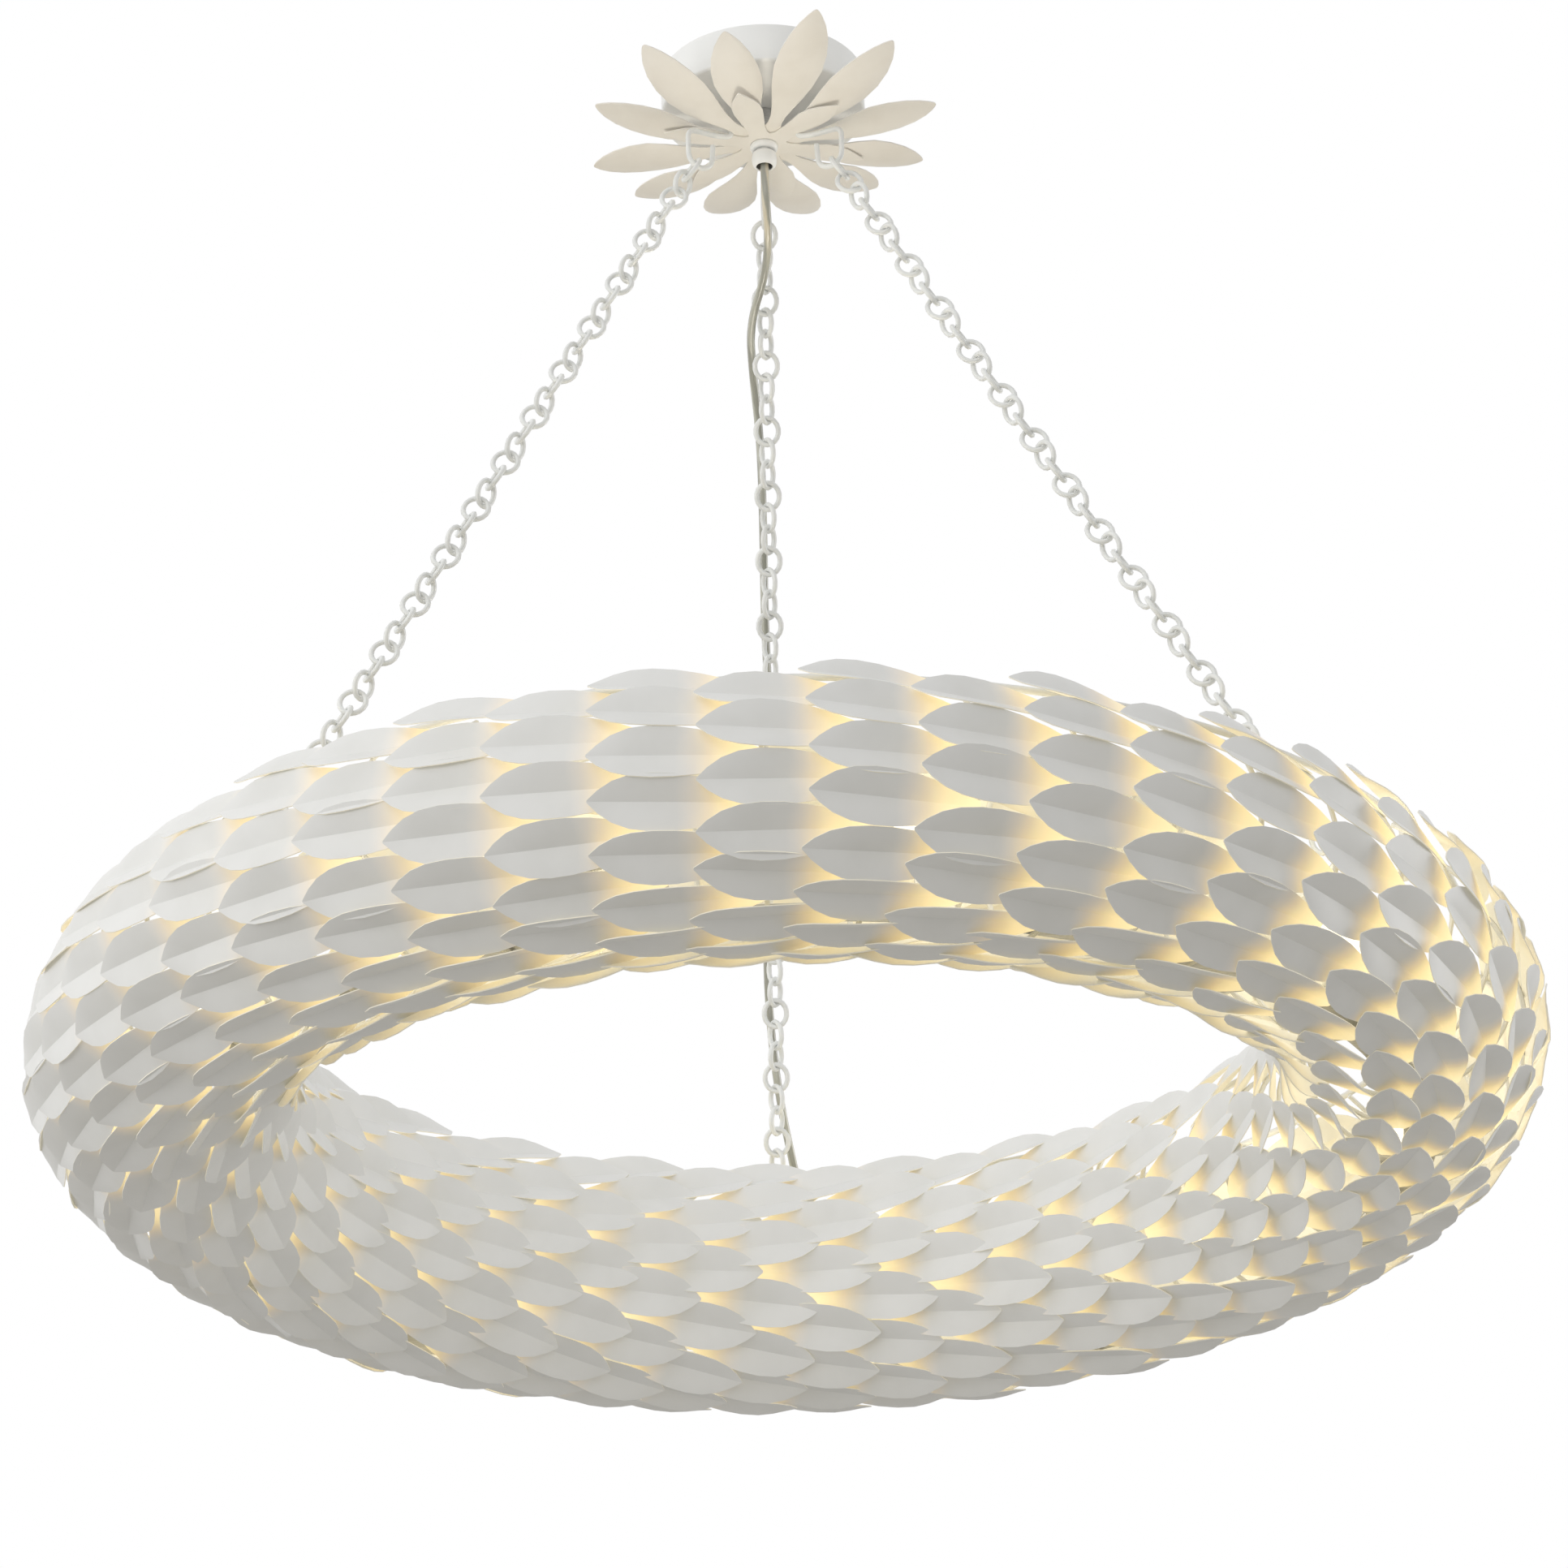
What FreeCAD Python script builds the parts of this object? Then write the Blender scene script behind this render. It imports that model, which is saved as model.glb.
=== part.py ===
import FreeCAD, Part
import math
import os

os.makedirs("parts", exist_ok=True)

Vector = FreeCAD.Vector
up = Vector(0, 0, 1)
across = Vector(0, 1, 0)
right_angle = 90.0

# All lengths are millimetres. The origin is on the ceiling, on the stem's axis, with +Z up.

# Leaf tube: leaves stand on wire hoops, and the hoops stand round one centre circle.
ring_radius = 357.0
column_count = 48
column_phase_angle = -2.6
row_pitch_angle = 22.5
top_row_angle = 45.0
long_row_count = 13
seat_radius = 64.0
seat_gap = 0.1

# One folded leaf, from its seat on the hoop to its tip.
leaf_length = 90.0
leaf_half_width = 14.4
leaf_fold_rise = 3.7
leaf_widest = 50.0
leaf_thickness = 0.8
tip_rise = 15.5
tip_rise_swing = 1.0

# Hoops, rails and the three saddles that close the open top strip.
hoop_width = 3.0
hoop_depth = 3.0
rail_size = 4.0
rail_gap = 0.15
saddle_width = 12.0
saddle_thickness = 2.5
saddle_floor = 33.0
saddle_gap = 0.2
weld_gap = 0.05

# Chains: round links drawn with six sides, each turned from the one before.
chain_angles = {"left": 210.0, "right": 330.0, "rear": 90.0}
link_count = 46
link_bore = 13.8
link_wire = 2.9
link_slack = 0.2
link_turn_angle = 60.0

# Open hooks under the flower.
hook_wire = 3.2
hook_slack = 0.2
pivot_radius = 50.0
pivot_drop = 77.0
hook_loop_radius = 8.4
hook_top_drop = 50.6
hook_shank_radius = 43.0
hook_corner = 3.0
hook_shank_top = 19.0
hook_tip_drop = 60.0
hook_hole_gap = 0.3
hook_nut_width = 8.0
hook_nut_height = 3.2

# Eyes on the ring's saddles.
eye_wire = 3.2
eye_slack = 0.5
eye_inset = 10.0
eye_height = 48.7
eye_half_width = 7.0
eye_shoulder = 4.2

# Canopy drum and crossbar.
drum_diameter = 127.0
drum_height = 26.0
drum_wall = 1.2
drum_sides = 36
crossbar_length = 112.0
crossbar_width = 20.0
crossbar_thickness = 2.5
slot_spacing = 79.0
slot_length = 26.0
slot_width = 4.4

# Stem, with its nut, bush, collar and spacer. Round pieces here have twelve sides.
round_sides = 12
stem_diameter = 12.0
stem_bore = 10.6
stem_mouth_drop = 64.0
sleeve_diameter = 14.2
sleeve_bore = 12.7
sleeve_length = 9.0
washer_diameter = 15.6
washer_thickness = 4.4
groove_gap = 1.0
nut_width = 17.0
nut_height = 5.0
fit_gap = 0.3
spacer_diameter = 20.0
bush_length = 12.0
bush_drop = 8.0
bush_gap = 0.1
fixed_lead_size = 4.0
fixed_lead_end_drop = 54.0

# Flower of cupped petals.
hub_drop = 46.0
hub_radius = 20.0
petal_thickness = 1.0
petal_curl = 3
petal_place_shares = [0.0, 0.3, 0.62, 0.86, 1.0]
outer_petal_count = 12
outer_petal_phase_angle = 15.0
outer_petal_half = 14.8
outer_petal_reach = 110.0
outer_petal_lift = 25.0
outer_petal_cup = 2.4
outer_petal_width_shares = [0.32, 0.63, 1.0, 0.66, 0.0]
outer_reach_shares = [0.96, 0.95, 1.08, 1.08, 1.05, 1.02, 1.0, 0.97, 0.88, 1.12, 1.03, 1.02]
outer_lift_shares = [0.14, 0.48, 0.72, 0.76, 0.5, 0.12, 0.48, 1.0, 0.9, 0.84, 0.92, 0.38]
inner_petal_count = 6
inner_petal_phase_angle = 15.0
inner_petal_half = 8.7
inner_petal_reach = 64.0
inner_petal_cup = 1.2
inner_petal_width_shares = [0.62, 0.96, 1.0, 0.58, 0.0]
petal_layer_gap = 0.2

# Lamps, their holders, and the channel that carries them.
lamp_count = 9
lamp_phase_angle = 4.0
lamp_drop = 17.0
lamp_sides = 6
lamp_tip = -40.0
lamp_shoulder = -24.0
lamp_shoulder_radius = 12.0
lamp_belly = 8.0
lamp_belly_radius = 17.5
lamp_cap_radius = 6.0
holder_mouth = 34.0
holder_length = 38.0
holder_radius = 11.0
holder_bore_depth = 22.0
holder_bore_gap = 0.3
bracket_width = 12.0
bracket_thickness = 2.0
bracket_place = 54.0
channel_width = 20.0
channel_thickness = 2.0
channel_gap = 0.1
harness_size = 4.0
harness_inset = 7.0

# Grommet in the rear saddle's tab.
tab_length = 20.0
tab_depth = 20.0
grommet_place = 16.0
grommet_body = 14.0
grommet_bore = 10.6
grommet_flange = 18.0
grommet_flange_height = 2.0
grommet_skirt = 8.0
ring_lead_size = 3.0
ring_lead_overlap = 2.0
ring_lead_bow = 28.0
ring_lead_knee = 20.0

# Flexible lead: its route's points are chosen by hand, in the part's own frame.
flex_diameter = 5.2
flex_sides = 8
flex_step_angle = 8.0
flex_route = [
    (0, 0, -59.5),
    (0, 0.5, -82),
    (1, 20, -101),
    (-4, 48.6, -114.2),
    (-17, 73.5, -134.8),
    (-15, 103.7, -154.8),
    (-5, 128, -184.9),
    (-4, 148.1, -235.4),
    (0, 181.7, -290),
    (6, 215.5, -349),
    (3, 248, -411),
    (-5, 276.6, -468.3),
    (-3, 307.1, -515.4),
    (6, 329.1, -558.1),
    (14, 344.5, -589.6),
    (16, 357, -617),
    (16, 357, -642.1),
]

saved_names = []


def save(name, shapes):
    """Write one named sub-part, as one solid or as a group of separate solids."""
    shape = shapes[0] if len(shapes) == 1 else Part.makeCompound(shapes)
    for solid in shapes:
        if not solid.isValid() or solid.Volume <= 0:
            raise ValueError(name + " has a bad solid")
    shape.exportStep("parts/" + name + ".step")
    saved_names.append(name)


def cosine(angle):
    return math.cos(math.radians(angle))


def sine(angle):
    return math.sin(math.radians(angle))


def tangent(angle):
    return math.tan(math.radians(angle))


def turned(shape, angle):
    """A copy of a shape turned about the stem's axis."""
    copy = shape.copy()
    copy.rotate(Vector(0, 0, 0), up, angle)
    return copy


def solid_of(loops):
    """A solid from flat faces, each given as its loop of corners."""
    faces = [Part.Face(Part.makePolygon(loop + [loop[0]])) for loop in loops]
    shell = Part.makeShell(faces)
    shell.sewShape()
    solid = Part.makeSolid(Part.Shell(shell.Faces))
    if solid.Volume < 0:
        solid.reverse()
    return solid


def mitred_bar(path, section, normal, closed=False):
    """A bar with flat sides along a flat path. Section points are (in-plane, along the normal)."""
    count = len(path)
    spans = count if closed else count - 1
    sides = []
    for index in range(spans):
        run = path[(index + 1) % count] - path[index]
        sides.append(normal.cross(run).normalize())
    rings = []
    for index, point in enumerate(path):
        before = sides[index - 1] if closed or index > 0 else sides[0]
        after = sides[index % spans] if closed or index < spans else sides[-1]
        mitre = (before + after) * (1.0 / (1.0 + before.dot(after)))
        rings.append([point + mitre * a + normal * b for a, b in section])
    loops = []
    corners = len(section)
    for index in range(spans):
        ring = rings[index]
        following = rings[(index + 1) % count]
        for corner in range(corners):
            other = (corner + 1) % corners
            loops.append([ring[corner], ring[other], following[other], following[corner]])
    if not closed:
        loops.append(rings[0])
        loops.append(rings[-1])
    return solid_of(loops)


def square_section(size):
    half = size / 2
    return [(half, half), (-half, half), (-half, -half), (half, -half)]


def polygon_points(apothem, sides, height, first_flat=0.0):
    """Corners of a regular polygon, given the distance to its flats."""
    reach = apothem / cosine(180.0 / sides)
    step = 360.0 / sides
    angles = [first_flat + step * (index + 0.5) for index in range(sides)]
    return [Vector(reach * cosine(a), reach * sine(a), height) for a in angles]


def polygon_prism(apothem, sides, low, high, first_flat=0.0):
    points = polygon_points(apothem, sides, low, first_flat)
    face = Part.Face(Part.makePolygon(points + [points[0]]))
    return face.extrude(up * (high - low))


def polygon_tube(outer, bore, sides, low, high):
    """A straight tube with flat sides, from two diameters across the flats."""
    body = polygon_prism(outer / 2, sides, low, high)
    return body.cut(polygon_prism(bore / 2, sides, low - outer, high + outer))


def stacked_rings(profile, sides, first_flat):
    """A solid whose rings of corners follow a profile of (radius, height). A radius of 0 is a point."""
    loops = []
    rings = []
    for radius, height in profile:
        if radius > 0:
            rings.append(polygon_points(radius, sides, height, first_flat))
        else:
            rings.append([Vector(0, 0, height)] * sides)
    for (low_radius, _), ring, (high_radius, _), following in zip(profile, rings, profile[1:], rings[1:]):
        for side in range(sides):
            other = (side + 1) % sides
            loop = [ring[side]]
            if low_radius > 0:
                loop.append(ring[other])
            loop.append(following[other])
            if high_radius > 0:
                loop.append(following[side])
            loops.append(loop)
    if profile[0][0] > 0:
        loops.append(rings[0])
    if profile[-1][0] > 0:
        loops.append(rings[-1])
    return solid_of(loops)


# Chain line: from the hook's lowest wire centre to the top of the eye, in the plane of one chain.
link_inner = link_bore / 2
link_pitch = link_bore - link_slack
first_centre = link_inner - hook_wire / 2 - hook_slack
last_centre = link_inner - eye_wire / 2 - eye_slack
chain_length = first_centre + link_pitch * (link_count - 1) + last_centre
eye_radius = ring_radius - eye_inset
chain_spread = eye_radius - pivot_radius
chain_drop = math.sqrt(chain_length ** 2 - chain_spread ** 2)
ring_height = -(pivot_drop + chain_drop + eye_height)
chain_start = Vector(pivot_radius, 0, -pivot_drop)
chain_end = Vector(eye_radius, 0, ring_height + eye_height)
chain_way = (chain_end - chain_start) * (1.0 / chain_length)
chain_side = Vector(-chain_way.z, 0, chain_way.x)
chain_lean = math.degrees(math.atan2(chain_way.z, chain_way.x))


# Hoops: each side of a hoop carries one or two leaf seats.
column_step = 360.0 / column_count
long_rows = [top_row_angle - row_pitch_angle * row for row in range(long_row_count)]
short_rows = [angle - row_pitch_angle / 2 for angle in long_rows[:-1]]
pair_apothem = seat_radius * cosine(row_pitch_angle / 2)
hoop_end_run = pair_apothem * tangent(row_pitch_angle)


def paired(rows):
    return [rows[index:index + 2] for index in range(0, len(rows), 2)]


def hoop_sides(rows):
    """The (angle, distance) of each straight side, so that every seat lies at seat_radius."""
    if len(rows) % 2:
        half = len(rows) // 2
        groups = paired(rows[:half]) + [[rows[half]]] + paired(rows[half + 1:])
    else:
        groups = [rows[:1]] + paired(rows[1:-1]) + [rows[-1:]]
    sides = []
    for group in groups:
        spread = (group[0] - group[-1]) / 2
        sides.append(((group[0] + group[-1]) / 2, seat_radius * cosine(spread)))
    return sides


def hoop_path(rows):
    """Corners of a hoop's outer face, in the upright plane through the stem's axis."""
    sides = hoop_sides(rows)
    points = []
    first_angle, first_reach = sides[0]
    points.append((first_reach * cosine(first_angle) - hoop_end_run * sine(first_angle),
                   first_reach * sine(first_angle) + hoop_end_run * cosine(first_angle)))
    for (angle, reach), (next_angle, next_reach) in zip(sides, sides[1:]):
        spread = sine(next_angle - angle)
        points.append(((reach * sine(next_angle) - next_reach * sine(angle)) / spread,
                       (next_reach * cosine(angle) - reach * cosine(next_angle)) / spread))
    last_angle, last_reach = sides[-1]
    points.append((last_reach * cosine(last_angle) + hoop_end_run * sine(last_angle),
                   last_reach * sine(last_angle) - hoop_end_run * cosine(last_angle)))
    return [Vector(ring_radius + x, 0, ring_height + z) for x, z in points]


def hoop(rows):
    section = [(0, hoop_width / 2), (0, -hoop_width / 2), (hoop_depth, 0)]
    return mitred_bar(hoop_path(rows), section, across)


def column_angle(column):
    return column_phase_angle + column_step * column


def column_rows(column):
    return long_rows if column % 2 == 0 else short_rows


def make_hoops():
    """Three groups of hoops, one group round each chain."""
    plain = {len(rows): hoop(rows) for rows in (long_rows, short_rows)}
    for name, azimuth in chain_angles.items():
        save("hoops_" + name, [turned(plain[len(column_rows(column))], column_angle(column))
                               for column in sector_columns(azimuth)])


def sector_columns(azimuth):
    """The columns of the third of the ring that is centred on one chain."""
    sector = column_count // 3
    first = int(round((azimuth - column_phase_angle) / column_step)) - sector // 2
    return [(first + index) % column_count for index in range(sector)]


# Leaves.
def flat_leaf():
    """One leaf with its spine along X, its width along Y and its outer side along +Z."""
    base = Vector(0, 0, 0)
    tip = Vector(leaf_length, 0, 0)
    under = Vector(leaf_widest, 0, -leaf_thickness)
    left = Vector(leaf_widest, leaf_half_width, leaf_fold_rise)
    right = Vector(leaf_widest, -leaf_half_width, leaf_fold_rise)
    return solid_of([
        [base, left, tip],
        [base, tip, right],
        [base, under, left],
        [under, tip, left],
        [base, right, under],
        [under, right, tip],
    ])


def placed_leaf(leaf, angle):
    """A leaf on the hoop at azimuth 0, seated at one angle round the tube."""
    outward = Vector(cosine(angle), 0, sine(angle))
    seat_distance = ring_radius + seat_radius * cosine(angle)
    height = tip_rise - tip_rise_swing * cosine(angle)
    lift = (height - cosine(angle) * leaf_length ** 2 / (2 * seat_distance)) / leaf_length
    along = across * -math.sqrt(1 - lift ** 2) + outward * lift
    wide = outward.cross(across) * -1
    raised = along.cross(wide)
    base = Vector(ring_radius, 0, ring_height) + outward * (seat_radius + seat_gap)
    base = base + across * (hoop_width / 2)
    frame = FreeCAD.Matrix(along.x, wide.x, raised.x, base.x,
                           along.y, wide.y, raised.y, base.y,
                           along.z, wide.z, raised.z, base.z,
                           0, 0, 0, 1)
    copy = leaf.copy()
    copy.transformShape(frame, True)
    return copy


def make_leaves():
    leaf = flat_leaf()
    rows = {angle: placed_leaf(leaf, angle) for angle in long_rows + short_rows}
    for name, azimuth in chain_angles.items():
        save("leaves_" + name, [turned(rows[angle], column_angle(column))
                                for column in sector_columns(azimuth)
                                for angle in column_rows(column)])


# Rings that follow the hoops: each straight side spans two columns.
ring_sides = column_count // 2
side_phase_angle = column_phase_angle + column_step / 2


def ring_path(radius, height):
    """Corners of a ring that lies at one radius where it meets the hoops."""
    corner_radius = radius * cosine(column_step / 2) / cosine(column_step)
    angles = [side_phase_angle + column_step * (2 * side + 1) for side in range(ring_sides)]
    return [Vector(corner_radius * cosine(a), corner_radius * sine(a), height) for a in angles]


def radius_at(radius, azimuth):
    """Where such a ring's straight side lies at one azimuth."""
    step = 2 * column_step
    offset = (azimuth - side_phase_angle + step / 2) % step - step / 2
    return radius * cosine(column_step / 2) / cosine(offset)


end_angle = hoop_sides(long_rows)[0][0]
rail_reach = (pair_apothem + seat_radius) / 2 - hoop_depth / 2
rail_run = hoop_end_run + rail_gap + rail_size / 2
rail_offset = rail_reach * cosine(end_angle) - rail_run * sine(end_angle)
rail_rise = rail_reach * sine(end_angle) + rail_run * cosine(end_angle)
rail_half_spread = rail_size / 2 * (cosine(end_angle) + sine(end_angle))


def make_rails():
    half = rail_size / 2
    for name, side in (("rail_outer", 1), ("rail_inner", -1)):
        corners = [(half, half), (-half, half), (-half, -half), (half, -half)]
        section = [(-side * (a * cosine(end_angle) - b * sine(end_angle)),
                    a * sine(end_angle) + b * cosine(end_angle)) for a, b in corners]
        path = ring_path(ring_radius + side * rail_offset, ring_height + rail_rise)
        save(name, [mitred_bar(path, section, up, closed=True)])


# Saddles and eyes, drawn at azimuth 0 and turned to each chain.
saddle_azimuth = chain_angles["rear"]
outer_arm = (radius_at(ring_radius + rail_offset, saddle_azimuth)
             - rail_half_spread - saddle_gap - saddle_thickness / 2)
inner_arm = (radius_at(ring_radius - rail_offset, saddle_azimuth)
             + rail_half_spread + saddle_gap + saddle_thickness / 2)
saddle_top = ring_height + rail_rise + rail_size / 2
floor_height = ring_height + saddle_floor


def plain_saddle():
    floor_centre = floor_height - saddle_thickness / 2
    half = saddle_thickness / 2
    wide = saddle_width / 2
    path = [Vector(inner_arm, 0, saddle_top), Vector(inner_arm, 0, floor_centre),
            Vector(outer_arm, 0, floor_centre), Vector(outer_arm, 0, saddle_top)]
    section = [(half, wide), (-half, wide), (-half, -wide), (half, -wide)]
    return mitred_bar(path, section, across)


def rear_saddle():
    """The rear saddle has a tab with a hole for the grommet."""
    tab = Part.makeBox(tab_depth, tab_length, saddle_thickness,
                       Vector(ring_radius - tab_depth / 2, -saddle_width / 2 - tab_length,
                              floor_height - saddle_thickness))
    hole = polygon_prism(grommet_body / 2 + fit_gap, round_sides,
                         floor_height - grommet_skirt, floor_height + grommet_skirt)
    hole.translate(Vector(ring_radius, -grommet_place, 0))
    return plain_saddle().fuse(tab).cut(hole).removeSplitter()


def eye():
    """A staple whose top side stands square to the chain."""
    half_top = eye_half_width - eye_shoulder
    left = chain_end - chain_side * half_top
    right = chain_end + chain_side * half_top
    foot = floor_height + weld_gap
    path = [Vector(eye_radius - eye_half_width, 0, foot),
            Vector(eye_radius - eye_half_width, 0, left.z - eye_shoulder),
            left,
            right,
            Vector(eye_radius + eye_half_width, 0, right.z - eye_shoulder),
            Vector(eye_radius + eye_half_width, 0, foot)]
    return mitred_bar(path, square_section(eye_wire), across)


def make_saddles():
    for name, azimuth in chain_angles.items():
        saddle = rear_saddle() if name == "rear" else plain_saddle()
        save("saddle_" + name, [turned(saddle, azimuth)])
        save("eye_" + name, [turned(eye(), azimuth)])


# Hooks.
def hook():
    """An open loop whose lowest side stands square to the chain."""
    loop_centre = chain_start - chain_way * hook_loop_radius
    sides = [0.0, chain_lean, 2 * chain_lean, -180.0]
    outer = loop_centre.x + hook_loop_radius
    inner = loop_centre.x - hook_loop_radius
    corners = []
    for angle, following in zip(sides, sides[1:]):
        middle = (angle + following) / 2
        reach = hook_loop_radius / cosine((following - angle) / 2)
        corners.append(loop_centre + Vector(reach * cosine(middle), 0, reach * sine(middle)))
    path = [Vector(hook_shank_radius, 0, -hook_shank_top),
            Vector(hook_shank_radius, 0, -hook_top_drop),
            Vector(outer - hook_corner, 0, -hook_top_drop),
            Vector(outer, 0, -hook_top_drop - hook_corner)]
    path += corners
    path.append(Vector(inner, 0, -hook_tip_drop))
    return mitred_bar(path, square_section(hook_wire), across)


def hook_nut():
    low = -drum_height + drum_wall + weld_gap
    nut = polygon_prism(hook_nut_width / 2, 6, low, low + hook_nut_height)
    half = hook_wire / 2 + bush_gap
    bore = Part.makeBox(2 * half, 2 * half, 2 * hook_nut_height,
                        Vector(-half, -half, low - hook_nut_height / 2))
    nut = nut.cut(bore)
    nut.translate(Vector(hook_shank_radius, 0, 0))
    return nut


def make_hooks():
    for name, azimuth in chain_angles.items():
        save("hook_" + name, [turned(hook(), azimuth)])
    save("hook_nuts", [turned(hook_nut(), azimuth) for azimuth in chain_angles.values()])


# Links.
def plain_link():
    """A link in the plane of Y and Z, with flat ends square to Z."""
    path = [Vector(0, point.y, point.x) for point in polygon_points(link_inner, 6, 0)]
    section = [(0, link_wire / 2), (0, -link_wire / 2), (-link_wire, 0)]
    area_way = (path[1] - path[0]).cross(path[2] - path[1])
    normal = Vector(1, 0, 0) if area_way.x > 0 else Vector(-1, 0, 0)
    return mitred_bar(path, section, normal, closed=True)


def chain_links():
    """Every link of one chain, in order from the hook, at azimuth 0."""
    link = plain_link()
    tilt = math.degrees(math.atan2(chain_way.x, chain_way.z))
    links = []
    for index in range(link_count):
        copy = link.copy()
        copy.rotate(Vector(0, 0, 0), up, link_turn_angle * index)
        copy.rotate(Vector(0, 0, 0), across, tilt)
        copy.translate(chain_start + chain_way * (first_centre + link_pitch * index))
        links.append(copy)
    return links


def make_chains():
    links = chain_links()
    for name, azimuth in chain_angles.items():
        placed = [turned(link, azimuth) for link in links]
        save("top_link_" + name, placed[:1])
        if name == "rear":
            save("chain_rear", placed[1:-1])
            save("bottom_link_rear", placed[-1:])
        else:
            save("chain_" + name, placed[1:])


# Canopy.
def slot(middle):
    """A long hole through the crossbar, with round ends."""
    radius = slot_width / 2
    straight = slot_length - slot_width
    low = -2 * crossbar_thickness
    hole = Part.makeBox(straight, slot_width, 3 * crossbar_thickness,
                        Vector(middle - straight / 2, -radius, low))
    for end in (-1, 1):
        place = Vector(middle + end * straight / 2, 0, low)
        hole = hole.fuse(Part.makeCylinder(radius, 3 * crossbar_thickness, place))
    return hole


def make_crossbar():
    bar = Part.makeBox(crossbar_length, crossbar_width, crossbar_thickness,
                       Vector(-crossbar_length / 2, -crossbar_width / 2, -crossbar_thickness))
    for side in (-1, 1):
        bar = bar.cut(slot(side * slot_spacing / 2))
    bore = polygon_prism(stem_diameter / 2 + bush_gap, round_sides,
                         -2 * crossbar_thickness, crossbar_thickness)
    save("crossbar", [bar.cut(bore).removeSplitter()])


hub_top = -hub_drop
inner_hub_top = hub_top - petal_thickness - petal_layer_gap
washer_top = inner_hub_top - petal_thickness - weld_gap
washer_low = washer_top - washer_thickness
sleeve_top = washer_low - groove_gap


def make_stem():
    save("stem", [polygon_tube(stem_diameter, stem_bore, round_sides, -stem_mouth_drop, 0)])
    nut_top = -crossbar_thickness - weld_gap
    nut = polygon_prism(nut_width / 2, 6, nut_top - nut_height, nut_top)
    bore = polygon_prism(stem_diameter / 2 + bush_gap, round_sides,
                         nut_top - 2 * nut_height, nut_top + nut_height)
    save("stem_nut", [nut.cut(bore)])
    bore_size = stem_diameter + 2 * bush_gap
    spacer_top = -drum_height - weld_gap
    save("hub_spacer", [polygon_tube(spacer_diameter, bore_size, round_sides,
                                     hub_top + weld_gap, spacer_top)])
    save("hub_washer", [polygon_tube(washer_diameter, bore_size, round_sides, washer_low, washer_top)])
    save("collar_sleeve", [polygon_tube(sleeve_diameter, sleeve_bore, round_sides,
                                        sleeve_top - sleeve_length, sleeve_top)])
    save("lead_bush", [polygon_tube(stem_bore - 2 * bush_gap, fixed_lead_size + 2 * fit_gap,
                                    round_sides, -bush_drop - bush_length, -bush_drop)])
    save("fixed_lead", [polygon_prism(fixed_lead_size / 2, lamp_sides, -fixed_lead_end_drop, 0)])


def make_drum():
    apothem = drum_diameter / 2
    body = polygon_prism(apothem, drum_sides, -drum_height, 0)
    body = body.cut(polygon_prism(apothem - drum_wall, drum_sides, -drum_height + drum_wall, drum_wall))
    body = body.cut(polygon_prism(stem_diameter / 2 + bush_gap, round_sides,
                                  -2 * drum_height, drum_height))
    half = hook_wire / 2 + hook_hole_gap
    hole = Part.makeBox(2 * half, 2 * half, 2 * drum_height,
                        Vector(hook_shank_radius - half, -half, -2 * drum_height))
    for azimuth in chain_angles.values():
        body = body.cut(turned(hole, azimuth))
    save("canopy_drum", [body])


def petal(half, reach, lift, cup, width_shares, top):
    """One cupped petal along X: its edges stand off its spine, and its tip curls towards the ceiling."""
    fold = cup / half
    run = reach - hub_radius
    spine = [Vector(hub_radius + run * share, 0, top + lift * share ** petal_curl)
             for share in petal_place_shares]
    drop = up * -petal_thickness
    loops = []
    rims = []
    for side in (1, -1):
        rim = [point + Vector(0, side, fold) * (half * share) for point, share in zip(spine, width_shares)]
        rims.append(rim)
        for first, second, outer_second, outer_first in zip(spine, spine[1:], rim[1:], rim):
            face = [first, second, outer_second, outer_first]
            if outer_second == second:
                face = [first, second, outer_first]
            loops.append(face)
            loops.append([point + drop for point in face])
    for rim in rims:
        for first, second in zip(rim, rim[1:]):
            loops.append([first, second, second + drop, first + drop])
    for rim in rims:
        loops.append([spine[0], rim[0], rim[0] + drop, spine[0] + drop])
    return solid_of(loops)


def flower(phase, blades, top):
    """A hub disc with its petals, joined as one pressed sheet."""
    hub = polygon_prism(hub_radius + fit_gap, 2 * round_sides, top - petal_thickness, top, phase)
    petals = [turned(blade, phase + 360.0 / len(blades) * index) for index, blade in enumerate(blades)]
    sheet = hub.fuse(petals).removeSplitter()
    bore = polygon_prism(stem_diameter / 2 + bush_gap, round_sides, top - drum_height, top + drum_height)
    return sheet.cut(bore).Solids[0]


def make_flower():
    outer = []
    for index in range(outer_petal_count):
        place = index % len(outer_reach_shares)
        outer.append(petal(outer_petal_half, outer_petal_reach * outer_reach_shares[place],
                           outer_petal_lift * outer_lift_shares[place], outer_petal_cup,
                           outer_petal_width_shares, hub_top))
    save("outer_petals", [flower(outer_petal_phase_angle, outer, hub_top)])
    inner = petal(inner_petal_half, inner_petal_reach, 0, inner_petal_cup, inner_petal_width_shares,
                  inner_hub_top)
    save("inner_petals", [flower(inner_petal_phase_angle, [inner] * inner_petal_count, inner_hub_top)])


# Lamps and wiring.
channel_low = ring_height - pair_apothem + hoop_depth + channel_gap
channel_top = channel_low + channel_thickness
lamp_height = ring_height - lamp_drop
lying_angle = 30.0


def laid_along(shape, azimuth):
    """A shape drawn along Z, laid along the tube at one azimuth."""
    copy = shape.copy()
    copy.rotate(Vector(0, 0, 0), Vector(1, 0, 0), -right_angle)
    copy.translate(Vector(ring_radius, 0, lamp_height))
    return turned(copy, azimuth)


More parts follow.
